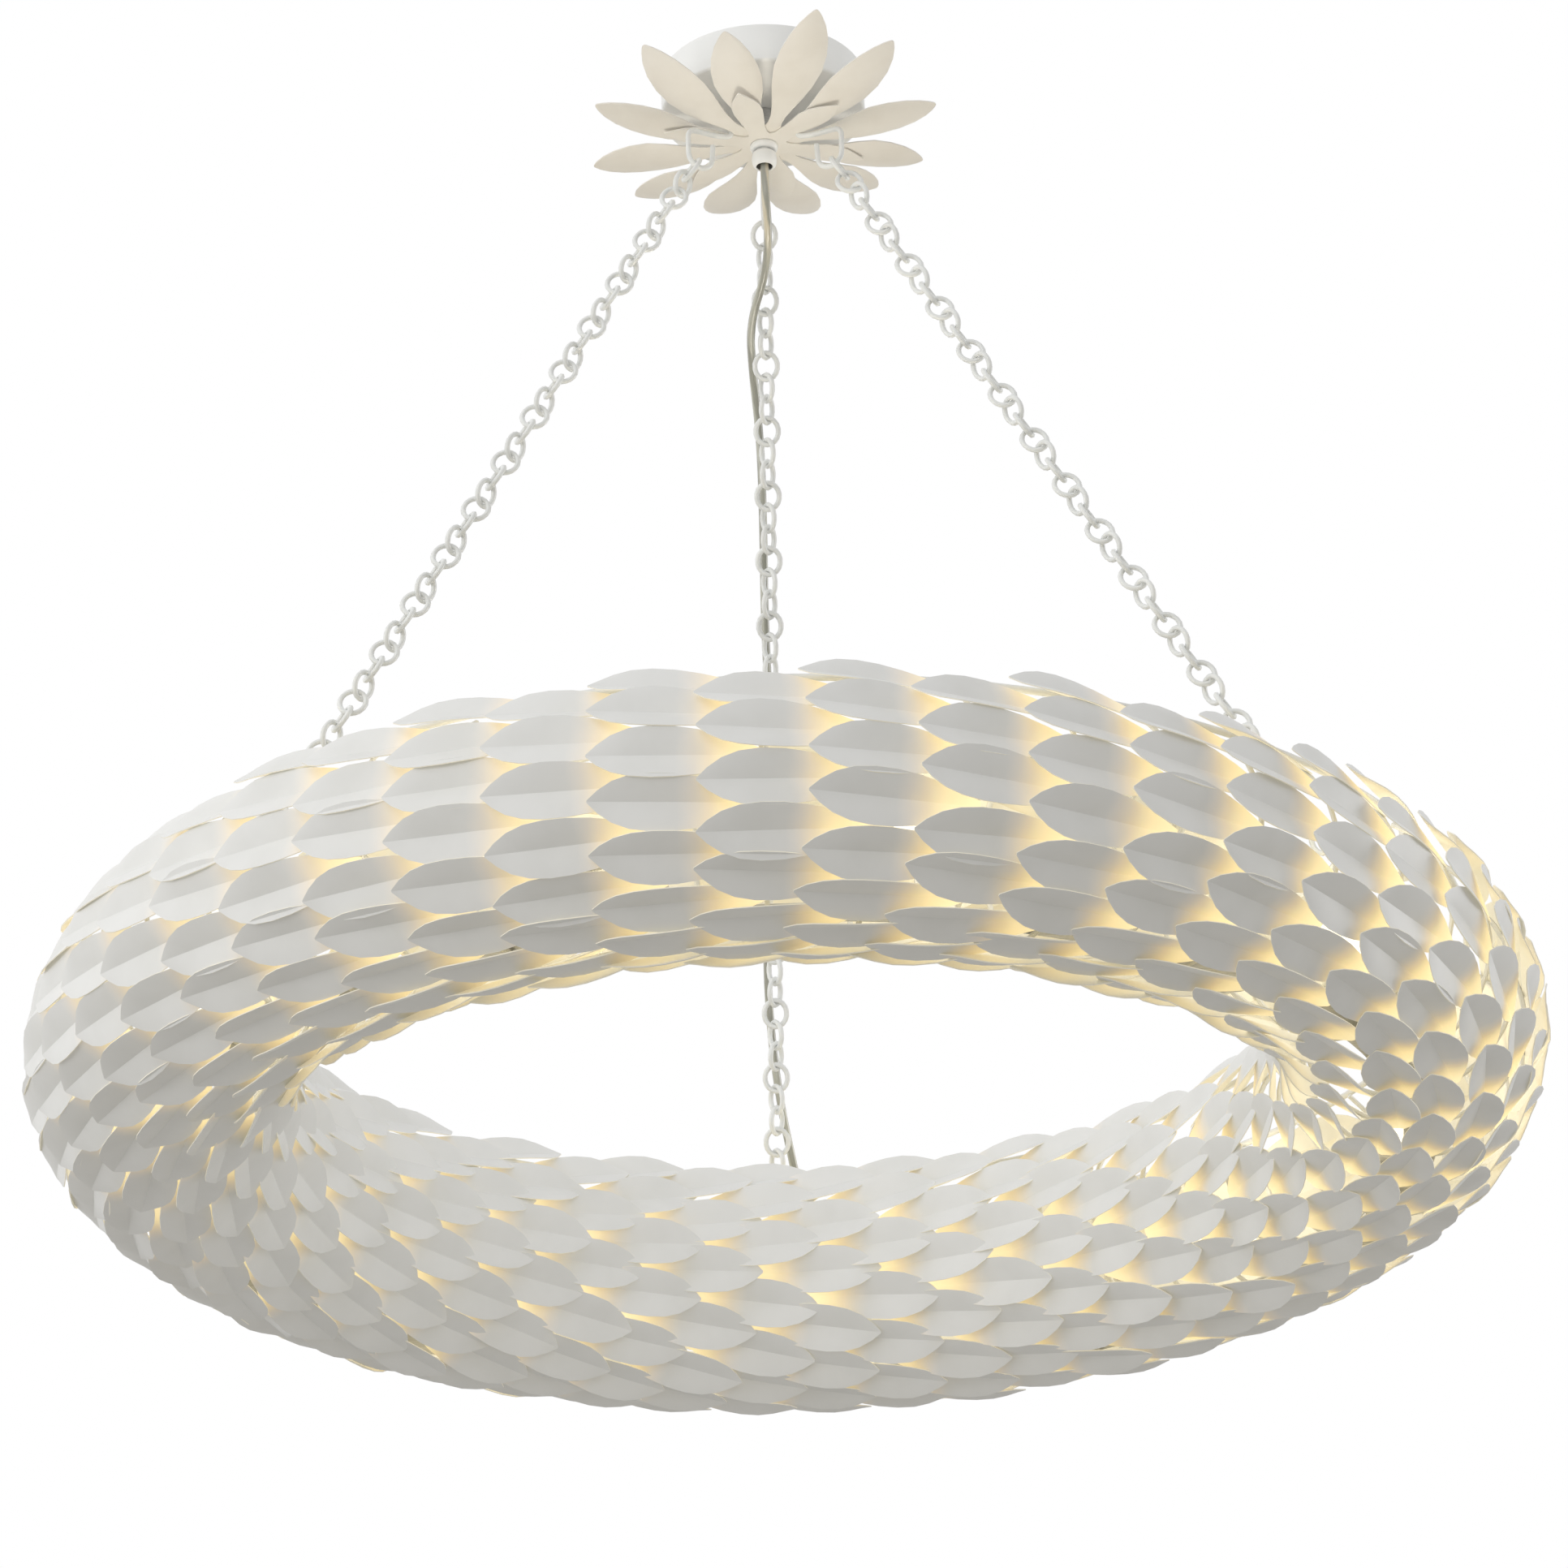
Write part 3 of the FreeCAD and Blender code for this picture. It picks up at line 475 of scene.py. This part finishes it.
def makeLeaf():
    deselectAll()
    count = len(leaf["stations"])
    bpy.ops.mesh.primitive_grid_add(x_subdivisions=count - 1, y_subdivisions=4, size=2, calc_uvs=True)
    sheet = bpy.context.object
    sheet.name = "leafPattern"
    for index, (station, share) in enumerate(zip(leaf["stations"], leaf["widthShares"])):
        column = -1 + 2 * index / (count - 1)
        editVerts(sheet, lambda co: abs(co.x - column) < 0.01 and abs(co.z) < 0.5)
        bpy.ops.transform.resize(value=(1, share, 1), center_override=(column, 0, 0))
        at = station * 2 - 1
        bpy.ops.transform.translate(value=(at - column, 0, 1))  # a row is lifted when it is done
        leaveEdit()
        for low, high, rise in ((0.4, 0.6, leaf["midRise"]), (0.9, 1.1, 1.0)):  # the halves fold up
            editVerts(sheet, lambda co: (abs(co.x - at) < 0.0001 and co.z > 0.5
                                         and low < abs(co.y) / share < high))
            bpy.ops.transform.translate(value=(0, 0, share * share * rise))
            leaveEdit()
    editVerts(sheet, lambda co: True)
    bpy.ops.transform.translate(value=(1, 0, -1))
    bpy.ops.transform.resize(value=(leaf["length"] / 2 * mm, leaf["halfWidth"] * mm, leaf["foldRise"] * mm),
                             center_override=(0, 0, 0))
    leaveEdit()
    layer = sheet.data.uv_layers[0].data
    for loop in sheet.data.loops:
        co = sheet.data.vertices[loop.vertex_index].co
        layer[loop.index].uv = (co.x / mm / leaf["length"], 0.5 + co.y / mm / leaf["halfWidth"] / 2)
    setMaterial(sheet, leafWhite, leafInsideLampLight, leafEdgeLampLight)
    addModifier(sheet, "SOLIDIFY", thickness=leaf["thickness"] * mm, offset=-1, material_offset=1,
                material_offset_rim=2)
    smoothByAngle(sheet, 12)
    return sheet


def leafPlace(angle, azimuth):
    phi = math.radians(angle)
    outward = Vector((math.cos(phi), 0, math.sin(phi)))
    sideways = Vector((0, 1, 0))
    reach = ring["radius"] + ring["seat"] * math.cos(phi)
    rise = leaf["tipRise"] - leaf["tipSwing"] * math.cos(phi)
    lift = (rise - math.cos(phi) * leaf["length"] ** 2 / (2 * reach)) / leaf["length"]
    lift += dice.uniform(*leaf["liftPlay"]) - leaf["lowRowDip"] * max(0.0, -math.sin(phi)) ** 3
    along = sideways * -math.sqrt(1 - lift * lift) + outward * lift
    wide = outward.cross(sideways) * -1
    raised = along.cross(wide)
    base = Vector((ring["radius"], 0, ring["height"])) + outward * (ring["seat"] + leaf["gap"])
    base += sideways * leaf["hoopHalf"]
    turn = Matrix((along, wide, raised)).transposed().to_4x4()
    roll = Matrix.Rotation(math.radians(dice.uniform(-1, 1) * leaf["rollPlay"]), 4, "X")
    yaw = Matrix.Rotation(math.radians(dice.uniform(-1, 1) * leaf["yawPlay"]), 4, "Z")
    return azimuthTurn(azimuth) @ Matrix.Translation(base * mm) @ turn @ yaw @ roll


def columnRows(column):
    top = ring["topRow"] - (0 if column % 2 == 0 else ring["rowPitch"] / 2)
    return [top - ring["rowPitch"] * row for row in range(ring["longRows"] - column % 2)]


def columnAzimuth(column):
    return ring["phase"] + 360 / ring["columns"] * column


def sectorColumns(azimuth):  # the third of the ring round one chain
    third = ring["columns"] // 3
    first = round((azimuth - ring["phase"]) / 360 * ring["columns"]) - third // 2
    return [(first + index) % ring["columns"] for index in range(third)]


leafPattern = makeLeaf()
for side, azimuth in sectors.items():
    spots = [leafPlace(angle, columnAzimuth(column))
             for column in sectorColumns(azimuth) for angle in columnRows(column)]
    leaves = stampCopies(leafPattern, spots, "leaves" + side.capitalize())
    place(leaves, "ring", "leaf_paint", "leaves_" + side)
dropSource(leafPattern)
print("leaves placed")


# hoops under the leaves, and the two rails that close their ends
hoop = {"wire": 1.5, "centre": 62.5, "stripHalf": 30.0, "railWire": 2.0, "railInset": 4.5, "railSides": 10}


def makeHoop():
    deselectAll()
    bpy.ops.mesh.primitive_torus_add(major_radius=hoop["centre"] * mm, minor_radius=hoop["wire"] * mm,
                                     major_segments=36, minor_segments=6)
    wire = bpy.context.object
    half = math.radians(hoop["stripHalf"])
    editFaces(wire, lambda co, normal: abs(math.atan2(co.x, co.y)) < half)
    bpy.ops.mesh.delete(type="FACE")
    leaveEdit()
    wire.rotation_euler = (math.pi / 2, 0, 0)
    wire.location = Vector((ring["radius"], 0, ring["height"])) * mm
    applyPlace(wire)
    makeActive(wire)
    bpy.ops.object.mode_set(mode="EDIT")
    bpy.ops.mesh.select_mode(type="EDGE")
    bpy.ops.mesh.select_all(action="DESELECT")
    bpy.ops.mesh.select_non_manifold()
    bpy.ops.mesh.edge_face_add()
    leaveEdit()
    fixNormals(wire)
    smoothByAngle(wire, 60)
    setMaterial(wire, wireWhite)
    return wire


hoopPattern = makeHoop()
for side, azimuth in sectors.items():
    turns = [azimuthTurn(columnAzimuth(column)) for column in sectorColumns(azimuth)]
    place(stampCopies(hoopPattern, turns, "hoops" + side.capitalize()), "ring", "wire_paint", "hoops_" + side)
dropSource(hoopPattern)


def makeRail(node, name):
    low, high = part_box(node)
    middle = (low[2] + high[2]) / 2 / mm
    reach = (high[0] - low[0]) / 2 / mm - hoop["railInset"]
    profile = roundSection(reach, middle, hoop["railWire"], hoop["railSides"])
    rail = turnedPiece(name, profile, sides=144, smooth=60)
    setMaterial(rail, wireWhite)
    place(rail, "ring", "wire_paint", node)


makeRail("rail_outer", "railOuter")
makeRail("rail_inner", "railInner")
print("hoops and rails made")


# chains of round links, each turned from the one before
chain = {"hookRadius": 50.0, "hookDrop": 77.0, "way": (0.47757, -0.87859), "first": 5.1, "pitch": 13.6,
         "count": 46, "turn": 60.0, "bore": 6.85, "wire": 1.6, "narrower": 1.3}


def makeLink():
    deselectAll()
    bpy.ops.mesh.primitive_torus_add(major_radius=(chain["bore"] + chain["wire"]) * mm,
                                     minor_radius=chain["wire"] * mm, major_segments=18, minor_segments=6)
    roundLink = bpy.context.object
    for vert in roundLink.data.vertices:  # the sides come in, so the link is longer along the chain
        vert.co.y -= math.sin(math.atan2(vert.co.y, vert.co.x)) * chain["narrower"] * mm
    smoothByAngle(roundLink, 70)
    setMaterial(roundLink, chainWhite)
    return roundLink


def linkPlaces(azimuth):
    outward = azimuthTurn(azimuth).to_3x3()
    start = outward @ Vector((chain["hookRadius"], 0, -chain["hookDrop"])) * mm
    way = outward @ Vector((chain["way"][0], 0, chain["way"][1]))
    side = outward @ Vector((0, 1, 0))
    places = []
    for index in range(chain["count"]):
        turned = Matrix.Rotation(math.radians(chain["turn"] * index), 3, way) @ side
        turn = Matrix((way, turned, way.cross(turned))).transposed().to_4x4()
        centre = start + way * (chain["first"] + chain["pitch"] * index) * mm
        places.append(Matrix.Translation(centre) @ turn)
    return places


linkPattern = makeLink()
for side, azimuth in sectors.items():
    spots = linkPlaces(azimuth)
    title = side.capitalize()
    place(stampCopies(linkPattern, spots[:1], "topLink" + title), "top_link_" + side, "chain_paint",
          "top_link_" + side)
    last = -1 if side == "rear" else None
    place(stampCopies(linkPattern, spots[1:last], "chain" + title), "chain_" + side, "chain_paint",
          "chain_" + side)
    if side == "rear":
        place(stampCopies(linkPattern, spots[-1:], "bottomLinkRear"), "bottom_link_rear", "chain_paint",
              "bottom_link_rear")
dropSource(linkPattern)
print("chains made")


# canopy drum, and the pieces on the stem below it, as (radius, height)
canopy = {
    "drum": [(63.0, 0.0), (63.4, -0.4), (63.4, -24.2), (63.0, -25.2), (62.1, -25.8), (61.0, -26.0),
             (6.3, -26.0), (6.3, -24.8), (61.2, -24.8), (62.0, -24.2), (62.2, -23.4), (62.2, -0.4),
             (62.5, 0.0), (63.0, 0.0)],
    "spacer": [(6.1, -26.1), (9.6, -26.1), (9.9, -26.5), (9.9, -45.4), (9.6, -45.8), (6.1, -45.8),
               (6.1, -26.1)],
    "washer": [(6.1, -48.3), (8.3, -48.3), (8.7, -49.0), (8.6, -50.2), (8.1, -51.5), (7.2, -52.4),
               (6.1, -52.6), (6.1, -48.3)],
    "stem": [(5.3, -0.1), (5.9, -0.1), (6.0, -0.4), (6.0, -62.0), (5.9, -62.3), (5.4, -62.3), (5.3, -62.0),
             (5.3, -0.1)],
    "sleeve": [(6.4, -54.2), (6.9, -54.2), (7.4, -54.7), (7.7, -56.4), (7.8, -58.6), (7.6, -60.6),
               (7.1, -62.2), (6.3, -63.3), (5.6, -63.7), (5.1, -63.5), (5.0, -63.0), (5.2, -62.6),
               (6.2, -62.5), (6.4, -62.3), (6.4, -54.2)],
}


def makeCanopy():
    for name, body, sides, finish, slotName, node in (
            ("drum", "canopy", 128, drumWhite, "white_paint", "canopy_drum"),
            ("spacer", "canopy", 40, platedSteel, "steel", "hub_spacer"),
            ("washer", "canopy", 40, drumWhite, "white_paint", "hub_washer"),
            ("stem", "canopy", 40, platedSteel, "steel", "stem"),
            ("sleeve", "collar", 40, drumWhite, "white_paint", "collar_sleeve")):
        piece = turnedPiece(name + "Round", canopy[name], sides=sides)
        setMaterial(piece, finish)
        place(piece, body, slotName, node)


makeCanopy()

# the flower: each layer is one sheet, whose petals part from the hub
# stations are (share of the reach, half width)
outerLayer = {
    "count": 12, "phase": 15.0, "top": -46.0, "root": 20.0, "reach": 107.5, "lift": 25.0, "cup": 2.6,
    "curl": 3.0, "twist": 0.05, "hubRadii": [6.4, 12.0, 17.0, 20.0],
    "stations": [(0.04, 4.3), (0.12, 4.7), (0.22, 6.7), (0.32, 9.5), (0.44, 12.8), (0.57, 15.0),
                 (0.70, 14.5), (0.82, 12.0), (0.91, 8.2), (0.965, 4.4), (0.99, 2.0), (1.0, 0.5)],
    "reachShares": [0.96, 0.95, 1.08, 1.08, 1.05, 1.02, 1.0, 0.97, 0.88, 1.12, 1.03, 1.02],
    "liftShares": [0.14, 0.48, 0.72, 0.76, 0.5, 0.12, 0.48, 1.0, 0.9, 0.84, 0.92, 0.38]}
innerLayer = {
    "count": 6, "phase": 15.0, "top": -47.2, "root": 12.0, "reach": 64.0, "lift": -0.8, "cup": 1.2,
    "curl": 1.5, "twist": 0.02, "hubRadii": [6.4, 9.0, 12.0],
    "stations": [(0.06, 5.9), (0.2, 6.2), (0.36, 7.7), (0.52, 9.1), (0.66, 8.7), (0.79, 6.7), (0.89, 4.1),
                 (0.96, 1.9), (0.99, 0.9), (1.0, 0.4)],
    "reachShares": [1.0, 0.96, 0.98, 1.0, 0.98, 1.0], "liftShares": [1.0, 0.6, 0.8, 1.0, 1.2, 0.9]}


def makeFlower(layer, name, node):
    hub = layer["hubRadii"]
    rows = len(hub) + len(layer["stations"])
    widest = max(half for share, half in layer["stations"])
    deselectAll()
    bpy.ops.mesh.primitive_grid_add(x_subdivisions=rows - 1, y_subdivisions=6, size=2)
    blade = bpy.context.object
    petals = []
    for index in range(layer["count"]):
        reach = layer["reach"] * layer["reachShares"][index]
        lift = layer["lift"] * layer["liftShares"][index]
        twist = dice.uniform(-1, 1) * layer["twist"]
        petal = copyTo(blade, Matrix.Identity(4))
        for vert in petal.data.vertices:
            row = round((vert.co.x + 1) / 2 * (rows - 1))
            across = vert.co.y
            if row < len(hub):
                share, half, radius = 0.0, hub[row] * math.tan(math.pi / layer["count"]), hub[row]
            else:
                share, half = layer["stations"][row - len(hub)]
                radius = layer["root"] + (reach - layer["root"]) * share
            height = layer["top"] + lift * share ** layer["curl"]
            height += layer["cup"] * (across * half / widest) ** 2 * min(1.0, 2.0 * share)
            height += twist * across * half * share
            vert.co = Vector((radius, across * half, height)) * mm
        petal.data.transform(azimuthTurn(layer["phase"] + 360 / layer["count"] * index))
        petals.append(petal)
    dropSource(blade)
    sheet = joinPieces(petals, name)
    fixNormals(sheet)
    if sheet.data.polygons[0].normal.z < 0:
        sheet.data.flip_normals()
    addModifier(sheet, "SOLIDIFY", thickness=1.0 * mm, offset=-1)
    addModifier(sheet, "BEVEL", width=0.25 * mm, segments=2, limit_method="ANGLE",
                angle_limit=math.radians(50))
    smoothByAngle(sheet, 50)
    setMaterial(sheet, petalCream)
    place(sheet, "canopy", "cream_paint", node)


makeFlower(outerLayer, "outerPetals", "outer_petals")
makeFlower(innerLayer, "innerPetals", "inner_petals")
print("canopy and flower made")


# open hooks under the flower, and the eyes on the ring's saddles, drawn in the plane of one chain
hook = {"wire": 1.65, "loop": 8.4, "tip": -59.5, "upper": [(43, -19.2), (43, -33), (23, -38), (23, -49),
                                                          (34, -51.5), (54.6, -52.5)]}
eye = {"wire": 1.6, "centre": (347.0, -623.398), "halfTop": 2.8, "half": 7.0, "shoulder": 4.2, "foot": -639.0}


def hookPoints():
    across, down = chain["way"]
    centreX = chain["hookRadius"] - across * hook["loop"]
    centreZ = -chain["hookDrop"] - down * hook["loop"]
    points = [(x, 0, z) for x, z in hook["upper"]] + [(centreX + hook["loop"], 0, centreZ + 4)]
    for step in range(9):
        angle = math.radians(-180 / 8 * step)
        points.append((centreX + hook["loop"] * math.cos(angle), 0, centreZ + hook["loop"] * math.sin(angle)))
    points.append((centreX - hook["loop"] - 0.6, 0, hook["tip"]))
    return points


def eyePoints():
    across, down = chain["way"]
    x, z = eye["centre"]
    left = (x + down * eye["halfTop"], 0, z - across * eye["halfTop"])
    right = (x - down * eye["halfTop"], 0, z + across * eye["halfTop"])
    return [(x - eye["half"], 0, eye["foot"]), (x - eye["half"], 0, left[2] - eye["shoulder"]), left, right,
            (x + eye["half"], 0, right[2] - eye["shoulder"]), (x + eye["half"], 0, eye["foot"])]


hookPattern = wirePiece(hookPoints(), hook["wire"], "hookPattern", sides=12)
setMaterial(hookPattern, chainWhite)
eyePattern = wirePiece(eyePoints(), eye["wire"], "eyePattern", sides=12)
setMaterial(eyePattern, wireWhite)
for side, azimuth in sectors.items():
    title = side.capitalize()
    place(stampCopies(hookPattern, [azimuthTurn(azimuth)], "hook" + title), "canopy", "chain_paint",
          "hook_" + side)
    place(stampCopies(eyePattern, [azimuthTurn(azimuth)], "eye" + title), "ring", "wire_paint", "eye_" + side)
dropSource(hookPattern)
dropSource(eyePattern)
print("hooks and eyes made")


# lamps lie along the tube in their holders; profiles are (radius, height) along each lamp's own axis
lamps = {
    "count": 9, "phase": 4.0, "drop": 17.0, "capFrom": 33.0,
    "bulb": [(0.8, -40.0), (4.6, -39.2), (8.4, -36.8), (11.6, -32.6), (14.2, -26.0), (16.2, -17.0),
             (17.2, -7.0), (17.4, 3.0), (16.6, 11.0), (14.6, 18.0), (11.6, 24.0), (8.6, 28.6),
             (6.8, 31.6), (6.0, 34.0), (6.0, 55.6), (4.0, 55.8)],
    "holder": [(8.0, 72.0), (10.0, 71.8), (10.8, 71.0), (10.8, 62.0), (9.9, 61.4), (9.9, 60.0), (10.8, 59.4),
               (10.8, 50.0), (9.9, 49.4), (9.9, 48.0), (10.8, 47.4), (10.8, 35.0), (10.2, 34.2), (7.2, 34.1),
               (6.5, 34.8), (6.4, 56.1), (4.0, 56.1)],
}


def makeLamps():
    bulb = turnedPiece("bulbPattern", lamps["bulb"], sides=28, capped=True, smooth=50)
    setMaterial(bulb, lampGlow, platedSteel)
    for face in bulb.data.polygons:
        face.material_index = 1 if face.center.z / mm > lamps["capFrom"] else 0
    holder = turnedPiece("holderPattern", lamps["holder"], sides=28, capped=True)
    setMaterial(holder, holderGlaze)
    lay = Matrix.Translation(Vector((ring["radius"], 0, ring["height"] - lamps["drop"])) * mm)
    lay = lay @ Matrix.Rotation(-math.pi / 2, 4, "X")
    for index in range(lamps["count"]):
        spot = azimuthTurn(lamps["phase"] + 360 / lamps["count"] * index) @ lay
        number = str(index + 1)
        place(stampCopies(bulb, [spot], "bulb" + number), "ring", "lamp_glass", "lamp_" + number)
        place(stampCopies(holder, [spot], "holder" + number), "ring", "holder_plastic",
              "lamp_holder_" + number)
    dropSource(bulb)
    dropSource(holder)


makeLamps()

# the channel, its harness, the grommet and the lead inside the ring
wiring = {
    "channel": [(347.4, -731.7), (366.3, -731.7), (366.8, -731.2), (366.8, -730.3), (366.3, -729.8),
                (347.4, -729.8), (346.9, -730.3), (346.9, -731.2), (347.4, -731.7)],
    "harnessRadius": 350.0, "harnessHeight": -727.8, "harnessWire": 1.7,
    "harnessWaves": 27, "harnessWave": 0.25,
    "grommet": [(5.5, -637.4), (8.4, -637.1), (8.9, -637.5), (8.9, -638.7), (8.5, -639.0), (7.0, -639.1),
                (7.0, -647.5), (6.6, -649.3), (5.6, -649.5), (5.4, -649.0), (5.4, -637.8), (5.5, -637.4)],
    "grommetPlace": (16.0, 357.0),
    "lead": [(16, 357, -647.8), (16, 357, -652), (16, 385, -670), (16, 385, -709.8), (16, 361, -727.0)],
    "leadWire": 1.4,
}


def makeWiring():
    channel = turnedPiece("channelRound", wiring["channel"], sides=144, smooth=25)
    setMaterial(channel, platedSteel)
    place(channel, "ring", "steel", "lamp_channel")

    profile = roundSection(wiring["harnessRadius"], wiring["harnessHeight"], wiring["harnessWire"], 8)
    harness = turnedPiece("harnessRound", profile, sides=180, smooth=70)
    for vert in harness.data.vertices:  # the wires lie in a slow wave along the channel
        swing = math.sin(wiring["harnessWaves"] * math.atan2(vert.co.y, vert.co.x))
        vert.co *= 1 + swing * wiring["harnessWave"] / wiring["harnessRadius"]
    setMaterial(harness, rubberPale)
    place(harness, "ring", "lead_sheath", "wiring_harness")

    grommet = turnedPiece("grommetRound", wiring["grommet"], sides=36)
    x, y = wiring["grommetPlace"]
    grommet.data.transform(Matrix.Translation(Vector((x, y, 0)) * mm))
    setMaterial(grommet, rubberPale)
    place(grommet, "ring", "pale_rubber", "lead_grommet")

    lead = wirePiece(wiring["lead"], wiring["leadWire"], "ringLead")
    setMaterial(lead, rubberPale)
    place(lead, "ring", "lead_sheath", "ring_lead")


makeWiring()
print("lamps and wiring made")

# finishes of the plain pieces that stay as they are
keptFinishes = {"crossbar": platedSteel, "stem_nut": platedSteel, "hook_nuts": platedSteel,
                "lead_bush": bushWhite, "fixed_lead": rubberPale, "lamp_brackets": platedSteel}
for side in sectors:
    keptFinishes["saddle_" + side] = wireWhite
for name, finish in keptFinishes.items():
    for slot in nodes[name].material_slots:
        slot.material = finish
print("kept pieces finished")


# floor, white surroundings and lights
studio = {"floorHeight": -2.35, "floorSeen": (0.88, 0.88, 0.87), "floorCast": (0.53, 0.515, 0.485),
          "fill": 0.60, "fillTilt": (-0.34, -0.09, 0.19), "leastFill": 0.15,
          "lampPower": 0.055, "lampColour": (1.0, 0.90, 0.66), "lampRise": 12.0, "lampSize": 0.02,
          "uplightPlace": (0, -0.05, -0.75), "uplightPower": 5.8, "uplightColour": (1.0, 0.93, 0.80),
          "uplightCone": 34.0, "uplightSize": 0.12}
softLights = {"keyLight": {"place": (-1.9, -1.6, 1.6), "aim": (0, 0, -0.6), "size": 1.6, "power": 3.4},
              "sideLight": {"place": (-2.3, -1.0, -0.7), "aim": (-0.2, 0, -0.6), "size": 1.4, "power": 9.0},
              "frontLight": {"place": (-0.7, -3.0, -0.3), "aim": (0, 0, -0.5), "size": 1.5, "power": 7.0},
              "rightLight": {"place": (2.2, 0.5, -0.35), "aim": (0.3, 0, -0.65), "size": 1.2, "power": 11.0},
              "farLight": {"place": (0.0, -0.1, -0.80), "aim": (-0.03, 0.36, -0.66), "size": 0.3,
                           "power": 0.27}}


def makeStage():
    deselectAll()
    bpy.ops.mesh.primitive_plane_add(size=30, location=(0, 0, studio["floorHeight"]))
    floor = bpy.context.object
    floor.name = "floor"
    material, tree, shader, where = startMaterial("paleFloor")
    seen = valueFrom(tree, "ShaderNodeLightPath", "Is Camera Ray")
    link(tree, seen.blend(rgba(studio["floorCast"]), rgba(studio["floorSeen"])), shader, "Base Color")
    shader.inputs["Roughness"].default_value = 0.7
    back = valueFrom(tree, "ShaderNodeNewGeometry", "Backfacing")  # seen from below, the floor is clear
    clear = valueFrom(tree, "ShaderNodeBsdfTransparent", "BSDF")
    mixed = back.make("ShaderNodeMixShader", i0=back, i1=Sock(tree, shader.outputs["BSDF"]), i2=clear)
    tree.links.new(mixed.socket, tree.nodes["Material Output"].inputs["Surface"])
    setMaterial(floor, material)

    world = bpy.data.worlds.new("studio")
    bpy.context.scene.world = world
    world.use_nodes = True
    tree = world.node_tree
    background = tree.nodes["Background"]
    seen = valueFrom(tree, "ShaderNodeLightPath", "Is Camera Ray")
    glossy = valueFrom(tree, "ShaderNodeLightPath", "Is Glossy Ray")
    white = (seen + glossy).clamp(0.0, 1.0)
    way = valueFrom(tree, "ShaderNodeTexCoord", "Generated")
    tilt = way.make("ShaderNodeVectorMath", {"operation": "DOT_PRODUCT"}, out=1, i0=way,
                    i1=studio["fillTilt"])
    fill = (tilt + studio["fill"]).maths("MAXIMUM", studio["leastFill"])
    strength = white + (1 - white) * fill
    tree.links.new(strength.socket, background.inputs["Strength"])
    background.inputs["Color"].default_value = (1, 1, 1, 1)


def addLight(name, kind, spot, power, colour=(1, 1, 1), **settings):
    data = bpy.data.lights.new(name, kind)
    data.energy = power
    data.color = colour
    for key, value in settings.items():
        setattr(data, key, value)
    light = bpy.data.objects.new(name, data)
    light.location = spot
    bpy.context.scene.collection.objects.link(light)
    return light


makeStage()
for name, light in softLights.items():
    soft = addLight(name, "AREA", light["place"], light["power"], shape="DISK", size=light["size"])
    soft.rotation_euler = (Vector(light["aim"]) - Vector(light["place"])).to_track_quat("-Z", "Y").to_euler()
uplight = addLight("uplight", "SPOT", studio["uplightPlace"], studio["uplightPower"], studio["uplightColour"],
                   spot_size=math.radians(studio["uplightCone"]), spot_blend=1.0,
                   shadow_soft_size=studio["uplightSize"])
uplight.rotation_euler = (math.pi, 0, 0)  # lamp light that leaves the ring's open top
for index in range(lamps["count"]):
    angle = math.radians(lamps["phase"] + 360 / lamps["count"] * index)
    spot = Vector((ring["radius"] * math.cos(angle), ring["radius"] * math.sin(angle),
                   ring["height"] + studio["lampRise"])) * mm
    addLight("lampLight%d" % (index + 1), "POINT", spot, studio["lampPower"], studio["lampColour"],
             shadow_soft_size=studio["lampSize"])
bpy.context.scene.view_settings.view_transform = "Standard"
print("stage and lights placed")
